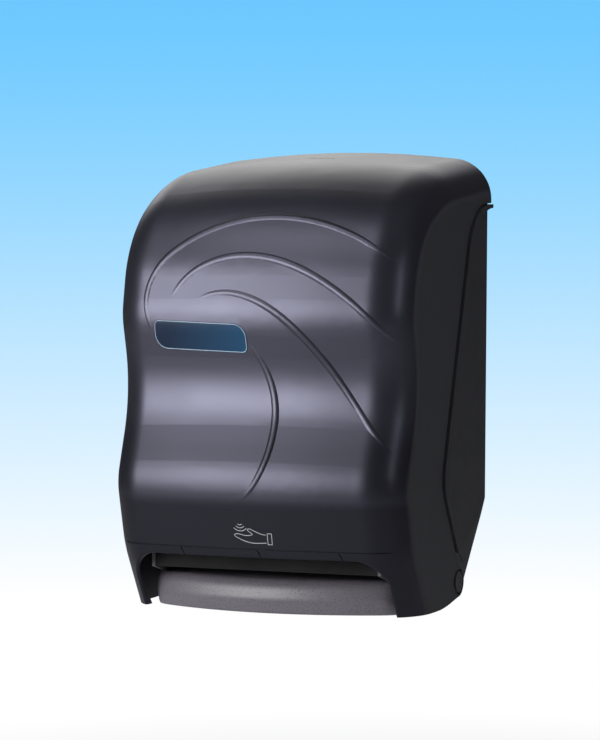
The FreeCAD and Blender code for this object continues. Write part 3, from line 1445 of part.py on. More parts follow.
node("battery_door", join("battery_door_body", [door_leaf, door_grip, door_roll,
                                                door_roll_far]))

# Electronics: a board on standoffs under its own box, with a button and two slide knobs
board_y = "(-housing_wall - board_standoff - board_thickness)"
board = block("board_blank", "board_left", board_y, "board_low", "board_width",
              "board_thickness", "board_height")
chip = block("board_chip", "board_left + 30", board_y + " - 2.4", "board_low + 20", "16", "2.5",
             "12")
plug = block("board_socket", "board_left + 8", board_y + " - 6", "board_low + 10", "12", "6.1",
             "6")
node("circuit_board", join("circuit_board_body", [board, chip, plug]))
corners = []
for x in ("(board_left + 4)", "(board_left + board_width - 4)"):
    for z in ("(board_low + 4)", "(board_low + board_height - 4)"):
        corners.append((x, z))
posts = [rod("board_post", "Y", "3", "board_standoff", x, "(-housing_wall - board_standoff)", z)
         for x, z in corners]
node("board_posts", group("board_posts_group", posts))
board_screws = [screw("board_screw", "Y", x, board_y, z, length="(board_thickness + 4)")
                for x, z in corners]
driven("board_screws", board_screws, ["circuit_board", "board_posts"])
box_x, box_z = "(board_left - box_margin)", "(board_low - box_margin)"
box_w, box_h = "(board_width + 2 * box_margin)", "(board_height + 2 * box_margin)"
lid = block("box_skin", box_x, "-housing_wall - box_depth", box_z, box_w, "box_depth", box_h)
lid_room = block("box_room", box_x + " + box_wall", "-housing_wall - box_depth + box_wall",
                 box_z + " + box_wall", box_w + " - 2 * box_wall", "box_depth",
                 box_h + " - 2 * box_wall")
box_face = "(-housing_wall - box_depth)"
knob_z = ["(board_low + board_height - 16)", "(board_low + board_height - 30)"]
knob_x = "(board_left + 20)"
button_x, button_z = "(board_left + board_width - 14)", "(board_low + board_height - 20)"
slots = [block("knob_slot", knob_x + " - knob_width / 2 - 0.4", box_face + " - 1", z + " - 1.9",
               "knob_width + knob_travel + 0.8", "box_wall + 2", "3.8") for z in knob_z]
button_way = rod("button_way", "Y", "button_radius + joint_gap", "box_wall + 2", button_x,
                 box_face + " - 1", button_z)
node("electronics_cover", cut("electronics_box", lid, [lid_room, button_way] + slots))
for label, z in zip(("length_switch", "delay_switch"), knob_z):
    stem = block(label + "_stem", knob_x + " - knob_width / 2", box_face + " - 2", z + " - 1.5",
                 "knob_width", "box_wall + 3.5", "3")
    foot = block(label + "_foot", knob_x + " - knob_width / 2 - 1.5",
                 box_face + " + box_wall + joint_gap", z + " - 3", "knob_width + 3", "1.5", "6")
    node(label, join(label + "_knob", [stem, foot]))
press = rod("button_press", "Y", "button_radius", "box_wall + button_proud + 3.5", button_x,
            box_face + " - button_proud", button_z)
brim = rod("button_brim", "Y", "button_radius + 1.5", "1.5", button_x,
           box_face + " + box_wall + joint_gap", button_z)
node("feed_button", join("feed_button_body", [press, brim]))

# Latch: a keeper under the housing's top edge, and under the key slot a sprung slider in a
# case on the cover, whose nose stands behind the keeper until the key presses it down
KEEPER_BACK = "(-housing_top_depth + keeper_thickness)"
keeper_box = block("keeper_box", "-keeper_half_width", "-housing_top_depth",
                   "(latch_low + latch_nose_height - latch_hold)", "2 * keeper_half_width",
                   "keeper_thickness", "60")
keeper_limit = place(made("keeper_limit", form(size("cover_wall") + size("nest_gap")
                                               + size("housing_wall"))), "0", "0", "0")
node("latch_keeper", common("latch_keeper_body", keeper_box, keeper_limit))
LATCH_FRONT = "(-key_slot_depth_from_wall - latch_block_half_depth)"
CASE_FLOOR = "(latch_low - latch_travel - joint_gap)"
SLIDE_HALF = "(latch_half_width + joint_gap)"
latch_shell = block("latch_shell", "-%s - latch_wall" % SLIDE_HALF,
                    LATCH_FRONT + " - joint_gap - latch_wall", CASE_FLOOR + " - latch_wall",
                    "2 * (%s + latch_wall)" % SLIDE_HALF,
                    "2 * (latch_block_half_depth + joint_gap) + latch_wall", "60")
shell_limit = place(made("shell_limit", form(size("cover_wall"))), "0", "0", "0")
latch_room = block("latch_room", "-" + SLIDE_HALF, LATCH_FRONT + " - joint_gap", CASE_FLOOR,
                   "2 * " + SLIDE_HALF, "4 * latch_block_half_depth", "80")
node("latch_plate", cut("latch_plate_body", common("latch_plate_blank", latch_shell, shell_limit),
                        [latch_room]))
slider = block("latch_block", "-latch_half_width", LATCH_FRONT, "latch_low",
               "2 * latch_half_width", "2 * latch_block_half_depth", "latch_block_height")
NOSE_FRONT = "(%s + joint_gap)" % KEEPER_BACK
latch_arm = block("latch_arm", "-latch_half_width", LATCH_FRONT, "latch_low",
                  "2 * latch_half_width",
                  "%s + latch_nose_thickness - %s" % (NOSE_FRONT, LATCH_FRONT),
                  "latch_arm_height")
latch_nose = block("latch_nose", "-latch_half_width", NOSE_FRONT, "latch_low",
                   "2 * latch_half_width", "latch_nose_thickness", "latch_nose_height")
spring_well = rod("spring_well", "Z", "latch_spring_radius + latch_spring_wire + joint_gap",
                  "latch_block_height - 1.5 + 1", "0", "-key_slot_depth_from_wall",
                  "(latch_low - 1)")
node("latch", cut("latch_body", join("latch_form", [slider, latch_arm, latch_nose]),
                  [spring_well]))
well_top = size("latch_block_height") - 1.5
spring_room = well_top + size("latch_travel") + size("joint_gap")
LATCH_TURNS = 6
spring_length = spring_room - 2 * (size("latch_spring_wire") + size("joint_gap"))
latch_coil = made("latch_coil", coil(size("latch_spring_radius"), size("latch_spring_wire"),
                                     spring_length / LATCH_TURNS, LATCH_TURNS))
node("latch_spring", place(latch_coil, "0", "-key_slot_depth_from_wall",
                           "(%s + latch_spring_wire + joint_gap)" % CASE_FLOOR))

doc.recompute()
failed = [item.Name for item in doc.Objects if {"Invalid", "Error"} & set(item.State)]
if failed:
    raise RuntimeError("these objects did not recompute: " + ", ".join(failed))
for label, item in nodes.items():
    if item.Shape.isNull() or not item.Shape.isValid() or not item.Shape.Solids:
        raise RuntimeError("this piece is not a valid solid: " + label)

os.makedirs("parts", exist_ok=True)
for label, item in nodes.items():
    item.Shape.exportStep("parts/%s.step" % label)
print("%d pieces written" % len(nodes))
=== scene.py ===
"""Touch-free roll towel dispenser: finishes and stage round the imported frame, as an add-on."""

import math

import bmesh
import bpy
from bpy.props import FloatProperty, FloatVectorProperty, PointerProperty
from mathutils import Matrix, Vector
from mathutils.bvhtree import BVHTree


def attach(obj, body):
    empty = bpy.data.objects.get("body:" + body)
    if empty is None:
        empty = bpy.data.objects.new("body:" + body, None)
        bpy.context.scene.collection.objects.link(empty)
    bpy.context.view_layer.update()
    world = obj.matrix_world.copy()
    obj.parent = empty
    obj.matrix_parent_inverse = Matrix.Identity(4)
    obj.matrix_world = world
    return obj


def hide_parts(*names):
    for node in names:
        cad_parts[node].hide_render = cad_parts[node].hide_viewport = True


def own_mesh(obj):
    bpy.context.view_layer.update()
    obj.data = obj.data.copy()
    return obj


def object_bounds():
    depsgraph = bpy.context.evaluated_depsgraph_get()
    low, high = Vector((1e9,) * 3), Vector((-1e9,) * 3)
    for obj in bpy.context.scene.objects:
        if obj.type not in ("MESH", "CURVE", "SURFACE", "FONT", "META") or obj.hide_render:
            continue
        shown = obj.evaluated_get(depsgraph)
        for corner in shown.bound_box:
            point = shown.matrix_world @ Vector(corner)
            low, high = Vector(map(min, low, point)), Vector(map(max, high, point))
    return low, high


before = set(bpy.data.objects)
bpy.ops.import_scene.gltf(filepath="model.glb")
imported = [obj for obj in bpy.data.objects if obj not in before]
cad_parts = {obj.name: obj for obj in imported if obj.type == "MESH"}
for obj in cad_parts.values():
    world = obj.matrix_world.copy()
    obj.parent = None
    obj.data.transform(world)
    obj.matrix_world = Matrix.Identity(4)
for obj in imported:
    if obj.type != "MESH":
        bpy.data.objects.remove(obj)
CAD_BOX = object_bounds()

bl_info = {
    "name": "Roll Towel Dispenser",
    "version": (1, 0, 0),
    "blender": (4, 5, 0),
    "location": "View3D > Sidebar > Dispenser",
    "description": "Dresses a wall-mounted roll towel dispenser and sets up its studio",
    "category": "Object",
}

MM = 0.001

# Where the cover's finish changes: by how far its surface faces aside or up; and where painted
# shade darkens it by height
ASIDE = (0.965, 0.998)
UPWARDS = (0.78, 0.97)
# painted shade: the heights over which the front darkens low down and again in its lowest band,
# and how much of its colour is left there
LOW_PAINTED_SHADE_BAND = (-0.036, -0.064)
FOOT_PAINTED_SHADE_BAND = (-0.107, -0.114)
LOW_PAINTED_SHADE = 0.68
FOOT_PAINTED_SHADE = 0.40

# The badge's left and right end, for its graded colour
BADGE_SPAN = (-0.082, -0.004)

# How far the badge's rim line and the printed hand stand out from what they lie on
RIM_PROUD = 0.00015
MARK_PROUD = 0.00008

# Where worn edges begin and where they are full: the cosine between true and rounded normal
EDGE_TURN = (0.995, 0.90)

# The floor: its radius, how far from the middle it fades into the sky, its colour, and the darker
# colour that glossy surfaces see in it
FLOOR_RADIUS = 30.0
FLOOR_FADE = (0.30, 1.20)
FLOOR_COLOUR = (0.80, 0.80, 0.81)
FLOOR_MIRRORED = (0.42, 0.42, 0.44)

# The world: colour and strength of its plain light, and of what glossy surfaces see of it
AMBIENT = ((0.95, 0.96, 1.0), 0.16)
MIRRORED = ((0.90, 0.93, 1.0), 0.05)

# Where the sky turns from white to blue, by the slope of the line of sight, and for red and green
# how much is left at the top and how fast it fades
SKY_SLOPES = (-0.123, 0.0783)
SKY_FADES = ((0.156, 1.5), (0.578, 1.2))

# Each lamp: name, place, what it looks at, width, height and watts
LAMPS = (
    ("key", (-0.85, -1.75, 0.34), (0.0, -0.20, 0.02), 1.80, 1.30, 42.0),
    ("upper key", (-0.50, -1.10, 1.50), (0.0, -0.20, 0.05), 1.60, 1.20, 9.0),
    ("back", (-0.95, 1.75, 1.35), (0.0, -0.10, 0.15), 2.60, 1.80, 21.0),
    ("side", (1.30, -0.30, 1.90), (0.1, -0.10, 0.0), 1.20, 1.20, 29.0),
    ("strip", (1.58, -0.48, 0.42), (0.10, -0.20, 0.05), 0.30, 0.60, 1.4),
)


# Sizes and colours a user would change


def colour_property(name, description, default):
    """A colour of the settings."""
    return FloatVectorProperty(name=name, description=description, default=default, size=3,
                               min=0.0, max=1.0, subtype="COLOR")


def length_property(name, description, default):
    """A length of the settings, never negative."""
    return FloatProperty(name=name, description=description, default=default, min=0.0,
                         unit="LENGTH", subtype="DISTANCE")


def factor_property(name, description, default):
    """A share of the settings, from 0 to 1."""
    return FloatProperty(name=name, description=description, default=default, min=0.0,
                         max=1.0, subtype="FACTOR")


class CoverSettings(bpy.types.PropertyGroup):
    smoke: colour_property("Smoke", "Colour of the front", (0.056, 0.056, 0.076))
    side: colour_property("Side", "Colour of the matte sides", (0.0168, 0.0174, 0.0208))
    gloss: factor_property("Front roughness", "Roughness of the satin front", 0.37)
    sheen: factor_property("Sheen", "How far the front mirrors in its own colour", 0.85)
    matte: factor_property("Side roughness", "Roughness of the flat sides", 0.65)


class BadgeSettings(bpy.types.PropertyGroup):
    deep: colour_property("Deep", "Colour of the badge's left end", (0.002, 0.010, 0.028))
    bright: colour_property("Bright", "Colour of the badge's right end", (0.003, 0.036, 0.085))
    rim: colour_property("Rim", "Colour of the line round the badge", (0.220, 0.300, 0.380))
    rim_width: length_property("Rim width", "Width of the line round the badge", 0.0008)


class MarkSettings(bpy.types.PropertyGroup):
    ink: colour_property("Ink", "Colour of the printed hand", (0.230, 0.235, 0.250))
    line: length_property("Line", "Width of the printed lines", 0.0009)
    left: FloatProperty(name="Left", description="Left end of the mark", default=-0.0135,
                        unit="LENGTH", subtype="DISTANCE")
    low: FloatProperty(name="Low", description="Lower end of the mark", default=-0.1490,
                       unit="LENGTH", subtype="DISTANCE")


class HousingSettings(bpy.types.PropertyGroup):
    charcoal: colour_property("Charcoal", "Colour of the rear housing", (0.0165, 0.0169, 0.0198))
    gloss: factor_property("Roughness", "Roughness of the rear housing", 0.5)


class TraySettings(bpy.types.PropertyGroup):
    grey: colour_property("Grey", "Colour of the tray", (0.096, 0.089, 0.105))
    fleck: colour_property("Fleck", "Colour of the flecks in the tray", (0.020, 0.018, 0.022))
    gloss: factor_property("Roughness", "Roughness of the tray", 0.43)


class StageSettings(bpy.types.PropertyGroup):
    drop: length_property("Floor drop", "How far the floor lies below the part", 0.30)
    lens: FloatProperty(name="Lens", description="Focal length of the camera", default=141.33,
                        min=1.0, subtype="DISTANCE_CAMERA")
    yaw: FloatProperty(name="Yaw", description="Turn of the camera to the part's right",
                       default=math.radians(22.38), subtype="ANGLE")
    pitch: FloatProperty(name="Pitch", description="Look down of the camera",
                         default=math.radians(2.71), subtype="ANGLE")
    roll: FloatProperty(name="Roll", description="Tilt of the camera",
                        default=math.radians(-0.05), subtype="ANGLE")
    place: FloatVectorProperty(name="Place", description="Where the camera stands",
                               default=(1.0220, -2.5973, 0.1283), subtype="TRANSLATION")


# Node helpers


def feed(tree, socket, value):
    """Gives a socket its value, or links it to where the value comes from."""
    if isinstance(value, bpy.types.NodeSocket):
        tree.links.new(value, socket)
    else:
        socket.default_value = value


def node(tree, kind, inputs=None, **settings):
    """A new node with its settings, its sockets given a value or a link."""
    made = tree.nodes.new(kind)
    for key, value in settings.items():
        setattr(made, key, value)
    for key, value in (inputs or {}).items():
        feed(tree, made.inputs[key], value)
    return made


def maths(tree, operation, first, second=0.0):
    """The result of a Math node."""
    return node(tree, "ShaderNodeMath", {0: first, 1: second}, operation=operation).outputs[0]


def remap(tree, value, low, high, start=0.0, end=1.0):
    """value from low..high to start..end, held inside."""
    made = node(tree, "ShaderNodeMapRange", {"Value": value, "From Min": low, "From Max": high,
                                             "To Min": start, "To Max": end})
    return made.outputs["Result"]


def mixed(tree, share, first, second):
    """Two colours mixed by share."""
    made = node(tree, "ShaderNodeMix", data_type="RGBA")
    for key, value in (("Factor_Float", share), ("A_Color", first), ("B_Color", second)):
        feed(tree, next(s for s in made.inputs if s.identifier == key), value)
    return next(s for s in made.outputs if s.identifier == "Result_Color")


def rgba(colour):
    """The colour with a full alpha."""
    return (*colour[:3], 1.0)


def group_tree(name, inputs, outputs):
    """A node group with its named inputs and outputs, its given values and its end."""
    tree = bpy.data.node_groups.new(name, "ShaderNodeTree")
    for label, kind, value in inputs:
        socket = tree.interface.new_socket(label, in_out="INPUT", socket_type="NodeSocket" + kind)
        if value is not None:
            socket.default_value = value
    for label, kind in outputs:
        tree.interface.new_socket(label, in_out="OUTPUT", socket_type="NodeSocket" + kind)
    return tree, tree.nodes.new("NodeGroupInput").outputs, tree.nodes.new("NodeGroupOutput")


def drift_group():
    """A colour that drifts lighter and darker over the piece."""
    tree, given, end = group_tree(
        "Colour drift",
        [("Vector", "Vector", None), ("Colour", "Color", None), ("Amount", "Float", 0.1),
         ("Scale", "Float", 9.0)],
        [("Colour", "Color")])
    cloud = node(tree, "ShaderNodeTexNoise", {"Vector": given["Vector"], "Scale": given["Scale"],
                                              "Detail": 4.0, "Roughness": 0.6})
    swing = maths(tree, "MULTIPLY", maths(tree, "SUBTRACT", cloud.outputs["Fac"], 0.5),
                  given["Amount"])
    level = maths(tree, "ADD", 1.0, maths(tree, "MULTIPLY", swing, 2.0))
    scaled = node(tree, "ShaderNodeVectorMath", {0: given["Colour"], "Scale": level},
                  operation="SCALE")
    tree.links.new(scaled.outputs[0], end.inputs["Colour"])
    return tree


def grain_group():
    """The fine pebbled texture of a spark-eroded mould."""
    tree, given, end = group_tree(
        "Moulded grain",
        [("Vector", "Vector", None), ("Scale", "Float", 1500.0)],
        [("Height", "Float"), ("Fleck", "Float")])
    fine = node(tree, "ShaderNodeTexNoise", {"Vector": given["Vector"], "Scale": given["Scale"],
                                             "Detail": 2.0, "Roughness": 0.6})
    coarse = node(tree, "ShaderNodeTexNoise",
                  {"Vector": given["Vector"],
                   "Scale": maths(tree, "MULTIPLY", given["Scale"], 0.35), "Detail": 1.0})
    height = maths(tree, "ADD", maths(tree, "MULTIPLY", fine.outputs["Fac"], 0.6),
                   maths(tree, "MULTIPLY", coarse.outputs["Fac"], 0.4))
    tree.links.new(height, end.inputs["Height"])
    tree.links.new(remap(tree, fine.outputs["Fac"], 0.35, 0.65), end.inputs["Fleck"])
    return tree


def wear_group():
    """Bare, rubbed edges, broken up so that they don't read as a line."""
    tree, given, end = group_tree(
        "Edge wear",
        [("Vector", "Vector", None), ("Radius", "Float", 0.001), ("Amount", "Float", 0.5)],
        [("Mask", "Float")])
    rounded = node(tree, "ShaderNodeBevel", {"Radius": given["Radius"]}, samples=4)
    true = node(tree, "ShaderNodeNewGeometry")
    along = node(tree, "ShaderNodeVectorMath",
                 {0: rounded.outputs[0], 1: true.outputs["Normal"]}, operation="DOT_PRODUCT")
    edge = remap(tree, along.outputs["Value"], *EDGE_TURN)
    broken = node(tree, "ShaderNodeTexNoise", {"Vector": given["Vector"], "Scale": 220.0,
                                               "Detail": 3.0})
    patch = remap(tree, broken.outputs["Fac"], 0.40, 0.62)
    mask = maths(tree, "MULTIPLY", maths(tree, "MULTIPLY", edge, patch), given["Amount"])
    tree.links.new(mask, end.inputs["Mask"])
    return tree


def smudge_group():
    """Cloudy handling marks that change the gloss a little."""
    tree, given, end = group_tree(
        "Handling smudges",
        [("Vector", "Vector", None), ("Scale", "Float", 14.0)], [("Mask", "Float")])
    broad = node(tree, "ShaderNodeTexNoise", {"Vector": given["Vector"], "Scale": given["Scale"],
                                              "Detail": 5.0, "Roughness": 0.55,
                                              "Distortion": 0.6})
    tree.links.new(remap(tree, broad.outputs["Fac"], 0.38, 0.68), end.inputs["Mask"])
    return tree


def line_group():
    """Fine parallel lines of brushing or drawing, long along one axis."""
    tree, given, end = group_tree(
        "Brushed lines",
        [("Vector", "Vector", None), ("Along", "Vector", (40.0, 2500.0, 2500.0))],
        [("Height", "Float")])
    stretched = node(tree, "ShaderNodeVectorMath", {0: given["Vector"], 1: given["Along"]},
                     operation="MULTIPLY")
    lines = node(tree, "ShaderNodeTexNoise", {"Vector": stretched.outputs[0], "Scale": 1.0,
                                              "Detail": 3.0, "Roughness": 0.7})
    tree.links.new(lines.outputs["Fac"], end.inputs["Height"])
    return tree


EFFECTS = {"Colour drift": drift_group, "Moulded grain": grain_group, "Edge wear": wear_group,
           "Handling smudges": smudge_group, "Brushed lines": line_group}
BUILT = {}


def effect(tree, name, inputs):
    """A shared effect, built once and placed in a material with its own values."""
    if name not in BUILT:
        BUILT[name] = EFFECTS[name]()
    return node(tree, "ShaderNodeGroup", inputs, node_tree=BUILT[name]).outputs


def blank_material(name):
    """A material with its tree, its Principled BSDF and the Object coordinates."""
    material = bpy.data.materials.new(name)
    material.use_nodes = True
    tree = material.node_tree
    shader = next(n for n in tree.nodes if n.type == "BSDF_PRINCIPLED")
    place = node(tree, "ShaderNodeTexCoord").outputs["Object"]
    return material, tree, shader, place


def bump(tree, shader, height, distance):
    """Relief on a material from a height of 0 to 1, distance deep."""
    made = node(tree, "ShaderNodeBump", {"Height": height, "Strength": 1.0,
                                         "Distance": distance})
    tree.links.new(made.outputs[0], shader.inputs["Normal"])


def smudged(tree, shader, place, smooth, rough, scale=14.0):
    """Roughness that handling smudges vary between two values."""
    smear = effect(tree, "Handling smudges", {"Vector": place, "Scale": scale})["Mask"]
    tree.links.new(remap(tree, smear, 0.0, 1.0, smooth, rough), shader.inputs["Roughness"])


# Finishes


def moulded(name, colour, roughness, grain=1500.0, depth=0.00002, drift=0.10, wear=0.5,
            worn=None, specular=0.5, coat=0.0):
    """Moulded plastic: drifting colour, fine grain, smudges in the gloss and paler worn edges."""
    material, tree, shader, place = blank_material(name)
    tone = effect(tree, "Colour drift", {"Vector": place, "Colour": rgba(colour),
                                         "Amount": drift})["Colour"]
    edge = effect(tree, "Edge wear", {"Vector": place, "Amount": wear})["Mask"]
    pale = worn or [min(1.0, c * 1.6 + 0.03) for c in colour]
    tree.links.new(mixed(tree, edge, tone, rgba(pale)), shader.inputs["Base Color"])
    smudged(tree, shader, place, roughness - 0.05, roughness + 0.07)
    texture = effect(tree, "Moulded grain", {"Vector": place, "Scale": grain})
    bump(tree, shader, texture["Height"], depth)
    shader.inputs["Specular IOR Level"].default_value = specular
    if coat:
        shader.inputs["Coat Weight"].default_value = coat
        shader.inputs["Coat Roughness"].default_value = 0.06
    return material


def metal(name, colour, roughness, along=(40.0, 2500.0, 2500.0), depth=0.000004, drift=0.06):
    """Bare or plated metal with drawn or brushed lines."""
    material, tree, shader, place = blank_material(name)
    tone = effect(tree, "Colour drift", {"Vector": place, "Colour": rgba(colour),
                                         "Amount": drift, "Scale": 40.0})["Colour"]
    tree.links.new(tone, shader.inputs["Base Color"])
    shader.inputs["Metallic"].default_value = 1.0
    lines = effect(tree, "Brushed lines", {"Vector": place, "Along": along})["Height"]
    tree.links.new(remap(tree, lines, 0.3, 0.7, roughness - 0.08, roughness + 0.10),
                   shader.inputs["Roughness"])
    bump(tree, shader, lines, depth)
    return material


def speckled(name, colour, fleck, roughness):
    """Warm grey moulding with fine dark flecks in it."""
    material, tree, shader, place = blank_material(name)
    tone = effect(tree, "Colour drift", {"Vector": place, "Colour": rgba(colour),
                                         "Amount": 0.08})["Colour"]
    spots = effect(tree, "Moulded grain", {"Vector": place, "Scale": 900.0})
    dark = remap(tree, spots["Fleck"], 0.76, 0.96)
    flecked = mixed(tree, maths(tree, "MULTIPLY", dark, 0.75), tone, rgba(fleck))
    edge = effect(tree, "Edge wear", {"Vector": place, "Amount": 0.35})["Mask"]
    tree.links.new(mixed(tree, edge, flecked, rgba([c * 1.3 for c in colour])),
                   shader.inputs["Base Color"])
    smudged(tree, shader, place, roughness - 0.03, roughness + 0.05)
    bump(tree, shader, spots["Height"], 0.00003)
    return material


def smoke(name, look):
    """The cover's moulding: a tinted satin front, a greyer top, matte flat sides, and painted
    shade that darkens the front low down.
    """
    material, tree, shader, place = blank_material(name)
    facing = node(tree, "ShaderNodeSeparateXYZ",
                  {0: node(tree, "ShaderNodeTexCoord").outputs["Normal"]})
    flat = remap(tree, maths(tree, "ABSOLUTE", facing.outputs["X"]), *ASIDE)
    top = remap(tree, facing.outputs["Z"], *UPWARDS)
    # painted shade: the front's colour is darkened low down, and darker still in its lowest band
    height = node(tree, "ShaderNodeSeparateXYZ", {0: place}).outputs["Z"]
    low = remap(tree, height, *LOW_PAINTED_SHADE_BAND)
    foot_shade = remap(tree, height, *FOOT_PAINTED_SHADE_BAND)
    satin = mixed(tree, top, rgba(look.smoke), rgba([sum(look.smoke) / 3] * 3))
    # painted shade: the satin colour darkened by the two height masks
    satin = mixed(tree, low, satin, rgba([c * LOW_PAINTED_SHADE for c in look.smoke]))
    satin = mixed(tree, foot_shade, satin, rgba([c * FOOT_PAINTED_SHADE for c in look.smoke]))
    tone = effect(tree, "Colour drift", {"Vector": place, "Amount": 0.07,
                                         "Colour": mixed(tree, flat, satin, rgba(look.side))})
    edge = effect(tree, "Edge wear", {"Vector": place, "Amount": 0.35, "Radius": 0.0006})["Mask"]
    pale = [c * 2.0 + 0.02 for c in look.side]
    tree.links.new(mixed(tree, edge, tone["Colour"], rgba(pale)), shader.inputs["Base Color"])
    tree.links.new(remap(tree, flat, 0.0, 1.0, look.sheen, 0.0), shader.inputs["Metallic"])
    smear = effect(tree, "Handling smudges", {"Vector": place})["Mask"]
    polish = remap(tree, smear, 0.0, 1.0, look.gloss - 0.012, look.gloss + 0.018)
    dull = maths(tree, "ADD", maths(tree, "MULTIPLY", flat, look.matte - look.gloss),
                 maths(tree, "MULTIPLY", top, 0.10))
    tree.links.new(maths(tree, "ADD", polish, dull), shader.inputs["Roughness"])
    texture = effect(tree, "Moulded grain", {"Vector": place, "Scale": 1300.0})
    grain = maths(tree, "MULTIPLY", texture["Height"], maths(tree, "ADD", flat, 0.12))
    bump(tree, shader, grain, 0.00003)
    return material


def graded(name, left, right):
    """Glossy print that runs from one colour to another across the badge."""
    material, tree, shader, place = blank_material(name)
    across = node(tree, "ShaderNodeSeparateXYZ", {0: place}).outputs["X"]
    blend = mixed(tree, remap(tree, across, *BADGE_SPAN), rgba(left), rgba(right))
    tone = effect(tree, "Colour drift", {"Vector": place, "Colour": blend, "Amount": 0.12,
                                         "Scale": 30.0})["Colour"]
    edge = effect(tree, "Edge wear", {"Vector": place, "Amount": 0.4, "Radius": 0.0005})["Mask"]
    tree.links.new(mixed(tree, edge, tone, rgba([c + 0.08 for c in right])),
                   shader.inputs["Base Color"])
    smudged(tree, shader, place, 0.29, 0.33, scale=40.0)
    grain = effect(tree, "Moulded grain", {"Vector": place, "Scale": 2000.0})["Height"]
    bump(tree, shader, grain, 0.000004)
    shader.inputs["Specular IOR Level"].default_value = 0.22
    return material


# Shapes laid on the front


def copy_of(name):
    """A CAD node's shape in a bmesh, with its loose triangles merged."""
    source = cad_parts[name]
    shape = bmesh.new()
    shape.from_mesh(source.data)
    shape.transform(source.matrix_world)
    bmesh.ops.remove_doubles(shape, verts=shape.verts, dist=0.000002)
    shape.normal_update()
    return shape


def front_of(name):
    """The faces of a CAD node, for finding the front at a place."""
    shape = copy_of(name)
    found = BVHTree.FromBMesh(shape)
    shape.free()
    return found


def flowing(points, steps):
    """Points of a smooth line through the given ones, drawn on the XZ plane."""
    line = []
    for i in range(len(points) - 1):
        before, start, end, after = (Vector(points[max(0, min(len(points) - 1, k))])
                                     for k in (i - 1, i, i + 1, i + 2))
        for step in range(steps):
            t = step / steps
            line.append(0.5 * (2 * start + (end - before) * t
                               + (2 * before - 5 * start + 4 * end - after) * t ** 2
                               + (3 * start - before - 3 * end + after) * t ** 3))
    return line + [Vector(points[-1])]


# Where the four rows of a raised line lie, as shares of half its width
ROWS = (1.0, 0.55, -0.55, -1.0)


def ribbon(shape, line, width, faces, proud):
    """Lays a grid along points of the XZ plane as a thin raised line, pressed on the front."""
    last = len(line) - 1
    strips = len(ROWS) - 1
    grid = bmesh.ops.create_grid(shape, x_segments=strips, y_segments=last, size=1.0)["verts"]
    for vert in grid:
        along = round((vert.co.y + 1.0) / 2.0 * last)
        share = ROWS[round((vert.co.x + 1.0) / 2.0 * strips)]
        ahead = line[min(along + 1, last)] - line[max(along - 1, 0)]
        aside = Vector((-ahead.y, ahead.x)).normalized() * width / 2
        x, z = line[along] + aside * share
        hit = faces.ray_cast(Vector((x, -1.0, z)), Vector((0.0, 1.0, 0.0)))[0]
        if hit is None:
            raise RuntimeError("a printed line leaves the front")
        # the outer rows sink into the front, so that no open edge shows
        lift = proud if abs(share) < 1.0 else -proud
        vert.co = (x, hit.y - lift, z)


def walk(edges, start):
    """The vertices met on a walk along the edges from a first one, until no edge leads on."""
    met, used = [start], set()
    while True:
        onward = next((e for e in edges if e not in used and met[-1] in e.verts), None)
        if onward is None:
            return met
        used.add(onward)
        met.append(onward.other_vert(met[-1]))


def drawn_in(outline, depth):
    """The closed outline drawn smaller all round, its last point on its first."""
    ring = outline[:-1] if (outline[-1] - outline[0]).length < 0.01 * MM else outline
    area = sum(a.x * b.y - b.x * a.y for a, b in zip(ring, ring[1:] + ring[:1]))
    moved = []
    for i, point in enumerate(ring):
        ahead = (ring[(i + 1) % len(ring)] - point).normalized()
        behind = (point - ring[i - 1]).normalized()
        along = (ahead + behind).normalized()
        inward = Vector((-along.y, along.x)) * (1.0 if area > 0.0 else -1.0)
        moved.append(point + inward * depth / max(0.5, along.dot(ahead)))
    return moved + moved[:1]


def face_front(shape):
    """Turns every face of a flat print towards the room."""
    bmesh.ops.recalc_face_normals(shape, faces=shape.faces)
    bmesh.ops.reverse_faces(shape, faces=[f for f in shape.faces if f.normal.y > 0.0])


def placed(name, data):
    """A new object in the scene that shows the data."""
    made = bpy.data.objects.new(name, data)
    bpy.context.scene.collection.objects.link(made)
    return made


def new_piece(name, shape, material, body):
    """A piece of its own from the shape, riding on a body."""
    mesh = bpy.data.meshes.new(name)
    shape.to_mesh(mesh)
    shape.free()
    mesh.shade_smooth()
    mesh.materials.append(material)
    piece = placed(name, mesh)
    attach(piece, body)
    return piece


def dress(name, material):
    """Gives a CAD node its finish in every one of its slots."""
    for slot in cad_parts[name].material_slots:
        slot.link = "OBJECT"
        slot.material = material


def dress_all(table):
    """Gives each finish of the table to its CAD nodes."""
    for material, names in table:
        for name in names:
            dress(name, material)


# Operators, one for each piece or group of like pieces


class Builder:
    """What all the operators share"""

    bl_options = {"REGISTER", "UNDO"}


class DISPENSER_OT_cover(Builder, bpy.types.Operator):
    """Finish the swing-down smoke cover"""

    bl_idname = "dispenser.cover"
    bl_label = "Cover"

    def execute(self, context):
        dress("cover", smoke("smoke cover", context.scene.dispenser_cover))
        return {"FINISHED"}


